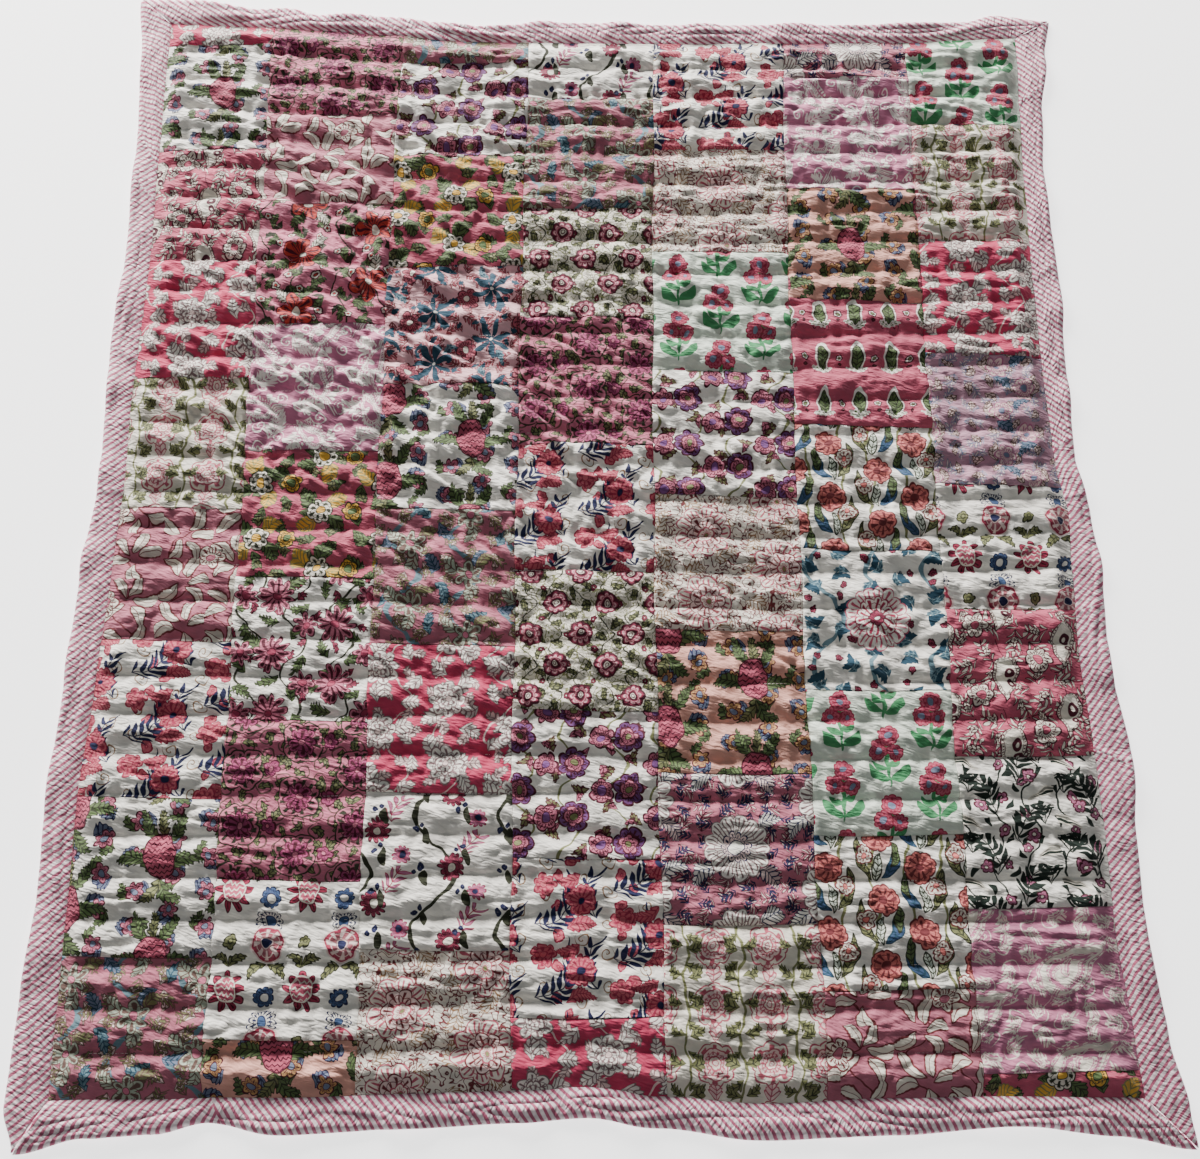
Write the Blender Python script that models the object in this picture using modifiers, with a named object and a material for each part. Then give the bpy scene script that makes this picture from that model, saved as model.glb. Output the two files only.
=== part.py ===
# Patchwork baby quilt lying open on a floor
#
# A maker sews small patches into a top, lays wadding between the top and a plain back, and
# stitches all three together in rows across the width. A border of striped cotton is sewn round
# it in four strips with mitred corners. The padded centre is one filled solid here, with its
# sewn channels on top, and each strip of the border is a thin solid of its own.
#
# Metres, +Z up. +Y runs along the quilt, and the origin is on the floor under its middle.

import math
from collections import namedtuple

import bmesh
import bpy

# Half the width and length of the rectangle that the open quilt just fits in
HALF_WIDTH = 0.528
HALF_LENGTH = 0.607

# Heights over the floor: the seam round the centre, a stitched row, and a padded crest
SEAM_HEIGHT = 0.0026
STITCH_HEIGHT = 0.0034
CREST_HEIGHT = 0.0098

# Quilting: rows of stitching about 38 mm apart, and how wide the padding takes to rise from a seam
CHANNELS = 30
SEAM_SLOPE = 0.022
PUFF_POWER = 0.62
STITCH_WAVE = 0.0022
LUMP = 0.16

# Border cloth: its two layers, the gap between pieces, and the ripples of its loose outer edge
BORDER_THICKNESS = 0.002
GAP = 0.0003
RIPPLE_HEIGHT = 0.0042
RIPPLE_PITCH = 0.118
FLAT_CORNER = 0.055

# Mesh steps: a channel has four rows of faces, and the border two. The centre and the border
# turn at the same places along a side, so that their faceted edges stay apart by the gap.
ROWS_PER_CHANNEL = 4
CENTRE_COLUMNS = 32
BORDER_ROWS = 2
SIDE_STEPS = {"left": 60, "right": 60, "bottom": CENTRE_COLUMNS, "top": CENTRE_COLUMNS}
CORNER_ROUNDS = 12

PATCHWORK_COLOUR = (0.58, 0.27, 0.31, 1.0)
STRIPE_COLOUR = (0.68, 0.44, 0.50, 1.0)
COTTON_ROUGHNESS = 0.85

# The edges aren't straight, because the quilting draws the cloth in. A row says how far the outer
# hem and the inner seam lie inside the overall rectangle, at a place along that side.
EdgePoint = namedtuple("EdgePoint", "along hem_in seam_in")

LEFT_EDGE = (
    EdgePoint(-0.607, 0.018, 0.044),
    EdgePoint(-0.570, 0.007, 0.044),
    EdgePoint(-0.490, 0.008, 0.042),
    EdgePoint(-0.406, 0.012, 0.040),
    EdgePoint(-0.300, 0.009, 0.037),
    EdgePoint(-0.200, 0.012, 0.041),
    EdgePoint(-0.080, 0.014, 0.044),
    EdgePoint(0.017, 0.021, 0.046),
    EdgePoint(0.110, 0.018, 0.043),
    EdgePoint(0.172, 0.015, 0.044),
    EdgePoint(0.270, 0.019, 0.045),
    EdgePoint(0.400, 0.016, 0.041),
    EdgePoint(0.520, 0.010, 0.038),
    EdgePoint(0.607, 0.000, 0.037),
)
RIGHT_EDGE = (
    EdgePoint(-0.607, 0.000, 0.041),
    EdgePoint(-0.575, 0.003, 0.042),
    EdgePoint(-0.515, 0.014, 0.045),
    EdgePoint(-0.425, 0.023, 0.051),
    EdgePoint(-0.340, 0.021, 0.050),
    EdgePoint(-0.262, 0.016, 0.051),
    EdgePoint(-0.160, 0.026, 0.055),
    EdgePoint(-0.070, 0.023, 0.052),
    EdgePoint(-0.015, 0.027, 0.049),
    EdgePoint(0.045, 0.036, 0.057),
    EdgePoint(0.152, 0.034, 0.059),
    EdgePoint(0.250, 0.030, 0.058),
    EdgePoint(0.385, 0.033, 0.055),
    EdgePoint(0.470, 0.026, 0.051),
    EdgePoint(0.543, 0.015, 0.047),
    EdgePoint(0.607, 0.004, 0.045),
)
TOP_EDGE = (
    EdgePoint(-0.528, 0.000, 0.034),
    EdgePoint(-0.486, 0.000, 0.034),
    EdgePoint(-0.398, 0.011, 0.036),
    EdgePoint(-0.360, 0.009, 0.037),
    EdgePoint(-0.325, 0.018, 0.039),
    EdgePoint(-0.240, 0.019, 0.044),
    EdgePoint(-0.155, 0.030, 0.051),
    EdgePoint(-0.040, 0.023, 0.051),
    EdgePoint(0.090, 0.024, 0.050),
    EdgePoint(0.220, 0.021, 0.046),
    EdgePoint(0.350, 0.018, 0.043),
    EdgePoint(0.425, 0.013, 0.038),
    EdgePoint(0.460, 0.003, 0.035),
    EdgePoint(0.522, 0.010, 0.033),
)
BOTTOM_EDGE = (
    EdgePoint(-0.509, 0.000, 0.042),
    EdgePoint(-0.450, 0.013, 0.043),
    EdgePoint(-0.391, 0.016, 0.043),
    EdgePoint(-0.345, 0.025, 0.044),
    EdgePoint(-0.280, 0.015, 0.044),
    EdgePoint(-0.161, 0.020, 0.047),
    EdgePoint(-0.072, 0.024, 0.049),
    EdgePoint(-0.012, 0.028, 0.052),
    EdgePoint(0.052, 0.019, 0.044),
    EdgePoint(0.144, 0.009, 0.038),
    EdgePoint(0.260, 0.013, 0.042),
    EdgePoint(0.375, 0.020, 0.043),
    EdgePoint(0.460, 0.011, 0.042),
    EdgePoint(0.528, 0.000, 0.040),
)

# The main wrinkles lie across the channels. Each is a soft trough with a low ridge on both sides:
# the middle of the trough, its length, its turn from +X in degrees, and its depth.
Crease = namedtuple("Crease", "x y length turn depth")

CREASES = (
    Crease(-0.281, 0.397, 0.150, -24, 0.0030),
    Crease(-0.277, 0.354, 0.130, -19, 0.0028),
    Crease(-0.323, 0.345, 0.080, -27, 0.0022),
    Crease(-0.254, 0.285, 0.105, -36, 0.0024),
    Crease(-0.177, 0.251, 0.100, -38, 0.0026),
    Crease(-0.193, 0.204, 0.095, -51, 0.0026),
    Crease(-0.126, 0.160, 0.105, -42, 0.0030),
    Crease(-0.326, 0.165, 0.085, -43, 0.0024),
    Crease(-0.266, 0.150, 0.085, -45, 0.0024),
    Crease(-0.320, 0.085, 0.090, -52, 0.0022),
    Crease(-0.159, -0.089, 0.080, -34, 0.0022),
    Crease(-0.150, -0.208, 0.120, -66, 0.0022),
    Crease(0.075, -0.181, 0.060, -76, 0.0022),
    Crease(0.172, -0.191, 0.060, -37, 0.0022),
    Crease(0.218, -0.272, 0.080, -67, 0.0026),
)
CREASE_HALF_WIDTH = 0.011


def mix(a, b, share):
    return a + (b - a) * share


def smooth_step(value):
    """0 below 0, 1 above 1, and an S between them."""
    share = min(max(value, 0.0), 1.0)
    return share * share * (3.0 - 2.0 * share)


def edge_value(edge, column, along):
    """A column of an edge table at a place along the side, eased from row to row."""
    first, last = edge[0], edge[-1]
    if along <= first.along:
        return getattr(first, column)
    if along >= last.along:
        return getattr(last, column)
    for before, after in zip(edge, edge[1:]):
        if along <= after.along:
            share = (along - before.along) / (after.along - before.along)
            return mix(getattr(before, column), getattr(after, column), smooth_step(share))


def side_point(side, column, along):
    """The (x, y) place of the hem or the seam of one side."""
    if side == "left":
        return (-HALF_WIDTH + edge_value(LEFT_EDGE, column, along), along)
    if side == "right":
        return (HALF_WIDTH - edge_value(RIGHT_EDGE, column, along), along)
    if side == "top":
        return (along, HALF_LENGTH - edge_value(TOP_EDGE, column, along))
    return (along, -HALF_LENGTH + edge_value(BOTTOM_EDGE, column, along))


def corner(left_right, bottom_top, column):
    """Where two sides meet: each side is read where the other one crosses it, until both agree."""
    x = HALF_WIDTH if left_right == "right" else -HALF_WIDTH
    y = HALF_LENGTH if bottom_top == "top" else -HALF_LENGTH
    for _ in range(CORNER_ROUNDS):
        x = side_point(left_right, column, y)[0]
        y = side_point(bottom_top, column, x)[1]
    return (x, y)


def side_ends(side, column):
    """Where a side starts and ends along its own axis, at its left or lower corner first."""
    if side in ("left", "right"):
        return corner(side, "bottom", column)[1], corner(side, "top", column)[1]
    return corner("left", side, column)[0], corner("right", side, column)[0]


def along_side(side, column, share):
    """The point of a side at a share of its length, on straight runs between the mesh steps."""
    start, end = side_ends(side, column)
    steps = SIDE_STEPS[side]
    step = min(int(share * steps), steps - 1)
    low = side_point(side, column, mix(start, end, step / steps))
    high = side_point(side, column, mix(start, end, (step + 1) / steps))
    part = share * steps - step
    return (mix(low[0], high[0], part), mix(low[1], high[1], part))


def centre_point(across, up):
    """The plan of the padded centre: a patch stretched between its four seams. Both shares are 0 to 1."""
    left = along_side("left", "seam_in", up)
    right = along_side("right", "seam_in", up)
    bottom = along_side("bottom", "seam_in", across)
    top = along_side("top", "seam_in", across)
    point = []
    for axis in (0, 1):
        low = mix(corner("left", "bottom", "seam_in")[axis], corner("right", "bottom", "seam_in")[axis], across)
        high = mix(corner("left", "top", "seam_in")[axis], corner("right", "top", "seam_in")[axis], across)
        sides = mix(left[axis], right[axis], across)
        ends = mix(bottom[axis], top[axis], up)
        point.append(sides + ends - mix(low, high, up))
    return point[0], point[1]


def crease_height(x, y):
    """What the main wrinkles add at a place: troughs below 0 and the ridges beside them above it."""
    total = 0.0
    for crease in CREASES:
        turn = math.radians(crease.turn)
        dx = x - crease.x
        dy = y - crease.y
        along = (dx * math.cos(turn) + dy * math.sin(turn)) / (crease.length / 2)
        across = (dy * math.cos(turn) - dx * math.sin(turn)) / CREASE_HALF_WIDTH
        if abs(along) < 1.6 and abs(across) < 4.0:
            fade = math.exp(-(along**4))
            total -= crease.depth * fade * (1.0 - 0.5 * across**2) * math.exp(-0.5 * across**2)
    return total


def centre_height(across, up, x, y):
    """The height of the quilted top over the floor."""
    puff = abs(math.sin(math.pi * CHANNELS * up))
    lumps = 1.0 + LUMP * math.sin(x * 31.0 + y * 47.0) + LUMP * 0.6 * math.sin(x * 67.0 - y * 23.0)
    from_seam = min(across, 1.0 - across) * 2 * HALF_WIDTH
    from_seam = min(from_seam, min(up, 1.0 - up) * 2 * HALF_LENGTH)
    padded = smooth_step(from_seam / SEAM_SLOPE)
    crest = (CREST_HEIGHT - STITCH_HEIGHT) * puff**PUFF_POWER * lumps
    return SEAM_HEIGHT + padded * (STITCH_HEIGHT - SEAM_HEIGHT + crest + crease_height(x, y))


def border_lift(along, outward, from_corner):
    """How far the border stands off the floor: nothing at its seam and corners, most at its hem."""
    wave = math.sin(2 * math.pi * along / RIPPLE_PITCH + 2.2 * math.sin(along * 7.0))
    free = smooth_step(from_corner / FLAT_CORNER - 0.3)
    return RIPPLE_HEIGHT * max(wave, 0.0) * free * outward**1.5


def cotton(name, colour):
    material = bpy.data.materials.new(name)
    material.use_nodes = True
    shader = material.node_tree.nodes["Principled BSDF"]
    shader.inputs["Base Color"].default_value = colour
    shader.inputs["Roughness"].default_value = COTTON_ROUGHNESS
    shader.inputs["Metallic"].default_value = 0.0
    material.diffuse_color = colour
    return material


def add_object(name, mesh_data, colour, collection):
    mesh = bpy.data.meshes.new(name)
    mesh_data.to_mesh(mesh)
    mesh_data.free()
    mesh.materials.append(cotton(name + "_cotton", colour))
    obj = bpy.data.objects.new(name, mesh)
    collection.objects.link(obj)
    return obj


def unit_grid(columns, rows):
    """A flat grid whose x and y both run from 0 to 1."""
    grid = bmesh.new()
    bmesh.ops.create_grid(grid, x_segments=columns, y_segments=rows, size=0.5)
    bmesh.ops.translate(grid, vec=(0.5, 0.5, 0.0), verts=grid.verts)
    return grid


def quilt_centre(collection):
    """The padded, quilted centre: its top from a grid, its drawn-in sides, and a flat underside."""
    body = unit_grid(CENTRE_COLUMNS, CHANNELS * ROWS_PER_CHANNEL)
    for vert in body.verts:
        across, up = vert.co.x, vert.co.y
        x, y = centre_point(across, up)
        inside = math.sin(math.pi * up) * math.sin(math.pi * across)
        y += STITCH_WAVE * inside * math.sin(x * 19.0 + y * 6.0)
        vert.co = (x, y, centre_height(across, up, x, y))
    rim = [edge for edge in body.edges if edge.is_boundary]
    walls = bmesh.ops.extrude_edge_only(body, edges=rim)["geom"]
    lower = [item for item in walls if isinstance(item, bmesh.types.BMVert)]
    for vert in lower:
        vert.co.z = 0.0
    floor_rim = [edge for edge in body.edges if edge.is_boundary]
    floor = bmesh.ops.contextual_create(body, geom=floor_rim)["faces"]
    bmesh.ops.poke(body, faces=floor)
    bmesh.ops.recalc_face_normals(body, faces=body.faces)
    return add_object("quilt_centre", body, PATCHWORK_COLOUR, collection)


def border_strip(side, collection):
    """One mitred strip of the border: an open rippled sheet between seam and hem, with Solidify."""
    strip = unit_grid(SIDE_STEPS[side], BORDER_ROWS)
    long_side = 2 * (HALF_LENGTH if side in ("left", "right") else HALF_WIDTH)
    trim = 1.5 * GAP / long_side
    for vert in strip.verts:
        share = mix(trim, 1.0 - trim, vert.co.x)
        outward = vert.co.y
        seam_x, seam_y = along_side(side, "seam_in", share)
        hem_x, hem_y = along_side(side, "hem_in", share)
        if side in ("left", "right"):
            seam_x += GAP if side == "right" else -GAP
            along = hem_y
        else:
            seam_y += GAP if side == "top" else -GAP
            along = hem_x
        from_corner = min(share, 1.0 - share) * long_side
        height = border_lift(along, outward, from_corner)
        vert.co = (mix(seam_x, hem_x, outward), mix(seam_y, hem_y, outward), height)
    for face in strip.faces:
        face.normal_update()
        if face.normal.z < 0:
            face.normal_flip()
    obj = add_object("border_" + side, strip, STRIPE_COLOUR, collection)
    shell = obj.modifiers.new("two_layers", "SOLIDIFY")
    shell.thickness = BORDER_THICKNESS
    shell.offset = 1.0
    return obj


def main():
    for obj in list(bpy.data.objects):
        bpy.data.objects.remove(obj)
    collection = bpy.data.collections.new("baby_quilt")
    bpy.context.scene.collection.children.link(collection)
    quilt_centre(collection)
    for side in SIDE_STEPS:
        border_strip(side, collection)


main()
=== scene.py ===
# %% [markdown]
# # A patchwork baby quilt, lying open on a pale floor
#
# The real quilt is three layers: a top pieced from small printed cotton patches, a thin wadding,
# and a plain back. Rows of stitching hold the layers together, and a border of striped cotton
# goes round them. This lesson dresses the plain solids of the quilt: first its form, then
# sixty-two patches, the back, the border and the stitches, and last the printed cottons.

import math
from collections import namedtuple

import bpy
import numpy as np
from mathutils import Matrix, Vector


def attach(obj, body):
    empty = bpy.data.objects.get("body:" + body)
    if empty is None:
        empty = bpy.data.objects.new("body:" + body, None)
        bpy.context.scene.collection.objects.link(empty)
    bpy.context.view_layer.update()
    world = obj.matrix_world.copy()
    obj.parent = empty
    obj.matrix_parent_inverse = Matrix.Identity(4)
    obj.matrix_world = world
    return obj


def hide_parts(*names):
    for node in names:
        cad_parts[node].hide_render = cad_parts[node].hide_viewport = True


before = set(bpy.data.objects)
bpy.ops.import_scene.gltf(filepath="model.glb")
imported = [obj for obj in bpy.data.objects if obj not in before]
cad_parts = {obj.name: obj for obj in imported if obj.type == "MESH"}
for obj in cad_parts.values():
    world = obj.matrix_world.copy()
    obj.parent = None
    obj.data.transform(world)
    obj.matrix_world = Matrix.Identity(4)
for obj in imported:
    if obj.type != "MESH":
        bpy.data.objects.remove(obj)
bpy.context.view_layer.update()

# %% [markdown]
# ## The outline
#
# Cloth edges are never straight, because the quilting draws them in. Each side has a short table,
# read off the real quilt: a place along the side, then how far the outer hem and the inner seam
# lie inside the quilt's overall rectangle there. Between two rows the edge is eased, so it waves
# softly. numpy works on whole arrays of points at once, which keeps the script fast.

# %% Edge tables: along, hem, seam
HALF_WIDTH = 0.528
HALF_LENGTH = 0.607
HEM = 1
SEAM = 2

EDGES = {
    "left": [
        (-0.607, 0.018, 0.044), (-0.570, 0.007, 0.044), (-0.490, 0.008, 0.042), (-0.406, 0.012, 0.040),
        (-0.300, 0.009, 0.037), (-0.200, 0.012, 0.041), (-0.080, 0.014, 0.044), (0.017, 0.021, 0.046),
        (0.110, 0.018, 0.043), (0.172, 0.015, 0.044), (0.270, 0.019, 0.045), (0.400, 0.016, 0.041),
        (0.520, 0.010, 0.038), (0.607, 0.000, 0.037),
    ],
    "right": [
        (-0.607, 0.000, 0.041), (-0.575, 0.003, 0.042), (-0.515, 0.014, 0.045), (-0.425, 0.023, 0.051),
        (-0.340, 0.021, 0.050), (-0.262, 0.016, 0.051), (-0.160, 0.026, 0.055), (-0.070, 0.023, 0.052),
        (-0.015, 0.027, 0.049), (0.045, 0.036, 0.057), (0.152, 0.034, 0.059), (0.250, 0.030, 0.058),
        (0.385, 0.033, 0.055), (0.470, 0.026, 0.051), (0.543, 0.015, 0.047), (0.607, 0.004, 0.045),
    ],
    "top": [
        (-0.528, 0.000, 0.034), (-0.486, 0.000, 0.034), (-0.398, 0.011, 0.036), (-0.360, 0.009, 0.037),
        (-0.325, 0.018, 0.039), (-0.240, 0.019, 0.044), (-0.155, 0.030, 0.051), (-0.040, 0.023, 0.051),
        (0.090, 0.024, 0.050), (0.220, 0.021, 0.046), (0.350, 0.018, 0.043), (0.425, 0.013, 0.038),
        (0.460, 0.003, 0.035), (0.522, 0.010, 0.033),
    ],
    "bottom": [
        (-0.509, 0.000, 0.042), (-0.450, 0.013, 0.043), (-0.391, 0.016, 0.043), (-0.345, 0.025, 0.044),
        (-0.280, 0.015, 0.044), (-0.161, 0.020, 0.047), (-0.072, 0.024, 0.049), (-0.012, 0.028, 0.052),
        (0.052, 0.019, 0.044), (0.144, 0.009, 0.038), (0.260, 0.013, 0.042), (0.375, 0.020, 0.043),
        (0.460, 0.011, 0.042), (0.528, 0.000, 0.040),
    ],
}
EDGES = {side: np.array(rows) for side, rows in EDGES.items()}
print("edge table rows:", {side: len(rows) for side, rows in EDGES.items()})


# %% Reading an edge table
def mix(a, b, share):
    return a + (b - a) * share


def ease(value):
    share = np.clip(value, 0.0, 1.0)
    return share * share * (3.0 - 2.0 * share)


def inset(side, column, along):
    """How far a hem or a seam lies inside the overall rectangle, at places along one side."""
    rows = EDGES[side]
    place = np.clip(along, rows[0, 0], rows[-1, 0])
    row = np.clip(np.searchsorted(rows[:, 0], place, side="right") - 1, 0, len(rows) - 2)
    share = (place - rows[row, 0]) / (rows[row + 1, 0] - rows[row, 0])
    return mix(rows[row, column], rows[row + 1, column], ease(share))


def side_line(side, column, along):
    """The x of the left or right edge, or the y of the top or bottom one."""
    reach = HALF_WIDTH if side in ("left", "right") else HALF_LENGTH
    outward = 1.0 if side in ("right", "top") else -1.0
    return outward * (reach - inset(side, column, along))


# %% Corners, and seams as shares of their length
def corner(left_right, bottom_top, column):
    """Where two edges cross: each is read where the other one is, until both agree."""
    x = HALF_WIDTH if left_right == "right" else -HALF_WIDTH
    for _ in range(12):
        y = side_line(bottom_top, column, x)
        x = side_line(left_right, column, y)
    return float(x), float(y)


CORNERS = {
    (column, lr, bt): corner(lr, bt, column)
    for column in (HEM, SEAM) for lr in ("left", "right") for bt in ("bottom", "top")
}
for (column, *sides), at in CORNERS.items():
    if column == SEAM:
        print("inner seam corner:", *sides, np.round(at, 3).tolist())


def side_ends(side, column):
    """Where a hem or a seam starts and ends along its own side."""
    if side in ("left", "right"):
        return CORNERS[column, side, "bottom"][1], CORNERS[column, side, "top"][1]
    return CORNERS[column, "left", side][0], CORNERS[column, "right", side][0]


def seam_at(side, share):
    """Where the inner seam of one side lies, at shares of its length."""
    return side_line(side, SEAM, mix(*side_ends(side, SEAM), share))


def to_side(across, up, width, height):
    """How far places are from the nearest of four sides, from their shares across and up."""
    return np.minimum(np.minimum(across, 1 - across) * width, np.minimum(up, 1 - up) * height)


# %% [markdown]
# ## The form of the quilted top
#
# Rows of stitching run across the quilt, about 38 mm apart. The wadding puffs up between them, and
# the stitches gather the cloth, so each row has small puckers. Where the quilt was bunched up and
# smoothed out again, the cloth keeps crumpled wrinkles, most of them sloping down to the right.
# The form is one height for each place: the stitched channels, fifteen main wrinkles, and layers
# of smooth noise for the crumple. An absolute value of noise has round tops and sharp valleys,
# which is how crumpled cotton looks.

# %% Smooth noise
LATTICE_SIZE = 256
LATTICE = np.random.RandomState(11).rand(LATTICE_SIZE, LATTICE_SIZE) * 2.0 - 1.0
print("noise lattice:", LATTICE.shape)


def smooth_noise(x, y, wide, tall, seed):
    """Random heights from -1 to 1, the same on every run, with lumps of the given width and height."""
    u = x / wide + 37.13 * seed
    v = y / tall + 91.71 * seed
    column = np.floor(u).astype(int)
    row = np.floor(v).astype(int)
    share_u = ease(u - column)
    share_v = ease(v - row)
    values = [
        [LATTICE[(column + i) % LATTICE_SIZE, (row + j) % LATTICE_SIZE] for i in (0, 1)] for j in (0, 1)
    ]
    return mix(mix(*values[0], share_u), mix(*values[1], share_u), share_v)


# %% Crumple: how its lines wander, how round its big folds are, and its smaller folds
WANDER = 0.35
WANDER_SIZE = 0.050
FOLD_POWER = 0.75
SMALL_FOLDS = (0.45, 0.5)
SMALL_SHARE = 0.55


def crumple(x, y, turn, wide, tall, seed):
    """Two sizes of crumple with sharp valleys, stretched along a line that is turned from +X."""
    along = x * math.cos(turn) + y * math.sin(turn)
    across = y * math.cos(turn) - x * math.sin(turn)
    across = across + WANDER * tall * smooth_noise(x, y, WANDER_SIZE, WANDER_SIZE, seed + 5)
    big = np.abs(smooth_noise(along, across, wide, tall, seed)) ** FOLD_POWER
    small = np.abs(smooth_noise(along, across, wide * SMALL_FOLDS[0], tall * SMALL_FOLDS[1], seed + 2))
    return big + SMALL_SHARE * small - SMALL_SHARE


# %% Places between the seams, and the rows of stitching
CHANNELS = 30
STITCH_WAVE = 0.0022


def cloth_place(x, y):
    """The shares across and up the padded centre, from its left and its lower seam."""
    start, end = side_ends("left", SEAM)
    up = (y - start) / (end - start)
    for _ in range(4):
        left, right = seam_at("left", up), seam_at("right", up)
        across = (x - left) / (right - left)
        low, high = seam_at("bottom", across), seam_at("top", across)
        up = (y - low) / (high - low)
    return np.clip(across, 0.0, 1.0), np.clip(up, 0.0, 1.0)


def stitch_wave(x, y, across, up):
    """The rows of stitching aren't ruled lines: they wander a little."""
    return STITCH_WAVE * np.sin(math.pi * up) * np.sin(math.pi * across) * np.sin(x * 19.0 + y * 6.0)


start, end = side_ends("left", SEAM)
print("row spacing in mm:", round((end - start) / CHANNELS * 1000, 1))

# %% Main wrinkles
CREASE_HALF_WIDTH = 0.011

# Place x and y, length, turn in degrees, depth
CREASES = [
    (-0.281, 0.397, 0.150, -24, 0.0030), (-0.277, 0.354, 0.130, -19, 0.0028),
    (-0.323, 0.345, 0.080, -27, 0.0022), (-0.254, 0.285, 0.105, -36, 0.0024),
    (-0.177, 0.251, 0.100, -38, 0.0026), (-0.193, 0.204, 0.095, -51, 0.0026),
    (-0.126, 0.160, 0.105, -42, 0.0030), (-0.326, 0.165, 0.085, -43, 0.0024),
    (-0.266, 0.150, 0.085, -45, 0.0024), (-0.320, 0.085, 0.090, -52, 0.0022),
    (-0.159, -0.089, 0.080, -34, 0.0022), (-0.150, -0.208, 0.120, -66, 0.0022),
    (0.075, -0.181, 0.060, -76, 0.0022), (0.172, -0.191, 0.060, -37, 0.0022),
    (0.218, -0.272, 0.080, -67, 0.0026),
]
print("main wrinkles:", len(CREASES))


def main_wrinkles(x, y):
    total = np.zeros_like(x)
    for crease_x, crease_y, length, degrees, depth in CREASES:
        turn = math.radians(degrees)
        dx, dy = x - crease_x, y - crease_y
        along = (dx * math.cos(turn) + dy * math.sin(turn)) / (length / 2)
        across = (dy * math.cos(turn) - dx * math.sin(turn)) / CREASE_HALF_WIDTH
        fade = np.exp(-np.clip(along, -2, 2) ** 4)
        total -= depth * fade * (1.0 - 0.5 * across**2) * np.exp(-0.5 * across**2)
    return total


# %% Crumpled places
# Place x and y, reach, and how strong the crumple is there
CRUMPLED = [
    (-0.26, 0.30, 0.17, 1.0), (-0.17, 0.13, 0.17, 1.0), (-0.36, 0.12, 0.13, 0.8), (-0.05, -0.02, 0.18, 0.7),
    (0.13, 0.16, 0.14, 0.6), (0.20, -0.17, 0.15, 0.7), (-0.15, -0.17, 0.15, 0.6), (0.36, 0.05, 0.12, 0.5),
]
print("crumpled places:", len(CRUMPLED))


def crumpled_share(x, y):
    calm = np.ones_like(x)
    for at_x, at_y, reach, strength in CRUMPLED:
        calm *= 1.0 - strength * np.exp(-((x - at_x) ** 2 + (y - at_y) ** 2) / reach**2)
    return 1.0 - calm


# %% The height of the quilted top
SEAM_HEIGHT = 0.0026
STITCH_HEIGHT = 0.0034
CREST_HEIGHT = 0.0098
SEAM_SLOPE = 0.022
PUFF_POWER = 0.62
LUMP = 0.16
PUCKER_DEPTH = 0.0026
PUCKER_FADE = 0.0095
LEVEL_CRUMPLE = 0.0046
SLANTED_CRUMPLE = 0.0100
LOWEST_TOP = 0.0024
CRUSHED_CREST = 0.30
LOOSE_AT_STITCH = 0.35


def quilt_height(x, y):
    """The height of the quilted top over the floor."""
    across, up = cloth_place(x, y)
    across, up = cloth_place(x, y - stitch_wave(x, y, across, up))
    row_share = np.abs(((up * CHANNELS + 0.5) % 1.0) - 0.5)
    to_stitch = row_share * 2 * HALF_LENGTH / CHANNELS
    puff = np.sin(math.pi * row_share) ** PUFF_POWER
    lumps = 1.0 + LUMP * np.sin(x * 31.0 + y * 47.0) + LUMP * 0.6 * np.sin(x * 67.0 - y * 23.0)
    padded = ease(to_side(across, up, 2 * HALF_WIDTH, 2 * HALF_LENGTH) / SEAM_SLOPE)
    slanted = crumpled_share(x, y)
    crest = (CREST_HEIGHT - STITCH_HEIGHT) * puff * lumps * (1.0 - CRUSHED_CREST * slanted)
    level_part = LEVEL_CRUMPLE * crumple(x, y, math.radians(-5), 0.036, 0.012, 3)
    slanted_part = SLANTED_CRUMPLE * crumple(x, y, math.radians(-38), 0.040, 0.016, 8)
    rows = np.round(up * CHANNELS)
    gathers = smooth_noise(x, rows * 0.31, 0.0075, 0.3, 17)
    gathers = gathers + 0.6 * smooth_noise(x, rows * 0.3, 0.017, 0.3, 23)
    pucker = PUCKER_DEPTH * gathers * np.exp(-to_stitch / PUCKER_FADE)
    loose = mix(level_part, slanted_part, slanted) * mix(LOOSE_AT_STITCH, 1.0, puff)
    height = STITCH_HEIGHT - SEAM_HEIGHT + crest + main_wrinkles(x, y) + loose + pucker
    return np.maximum(SEAM_HEIGHT + padded * height, LOWEST_TOP)


probe = np.linspace(-0.4, 0.4, 9)
print("heights along the middle, mm:", np.round(quilt_height(probe, probe * 0.0) * 1000, 1).tolist())

# %% [markdown]
# ## Which patch lies where
#
# The patches were sewn into seven columns, and the columns were sewn side by side, so the seams
# across don't line up from column to column. Three points on each column seam give its slow
# bend. An entry of the patch table names the cotton, the place of the seam below the patch, and
# how far the print is shifted from the middle of the patch, in millimetres.

# %% The seams between the columns
LOWEST_SEAM = -0.5635
HIGHEST_SEAM = 0.5595
COLUMN_SEAMS_AT = (LOWEST_SEAM, -0.1105, HIGHEST_SEAM)
COLUMN_SEAMS = [
    (-0.350, -0.359, -0.373), (-0.216, -0.225, -0.226), (-0.080, -0.085, -0.081),
    (0.059, 0.054, 0.062), (0.202, 0.200, 0.209), (0.340, 0.342, 0.351),
]
print("column seams:", len(COLUMN_SEAMS))

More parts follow.
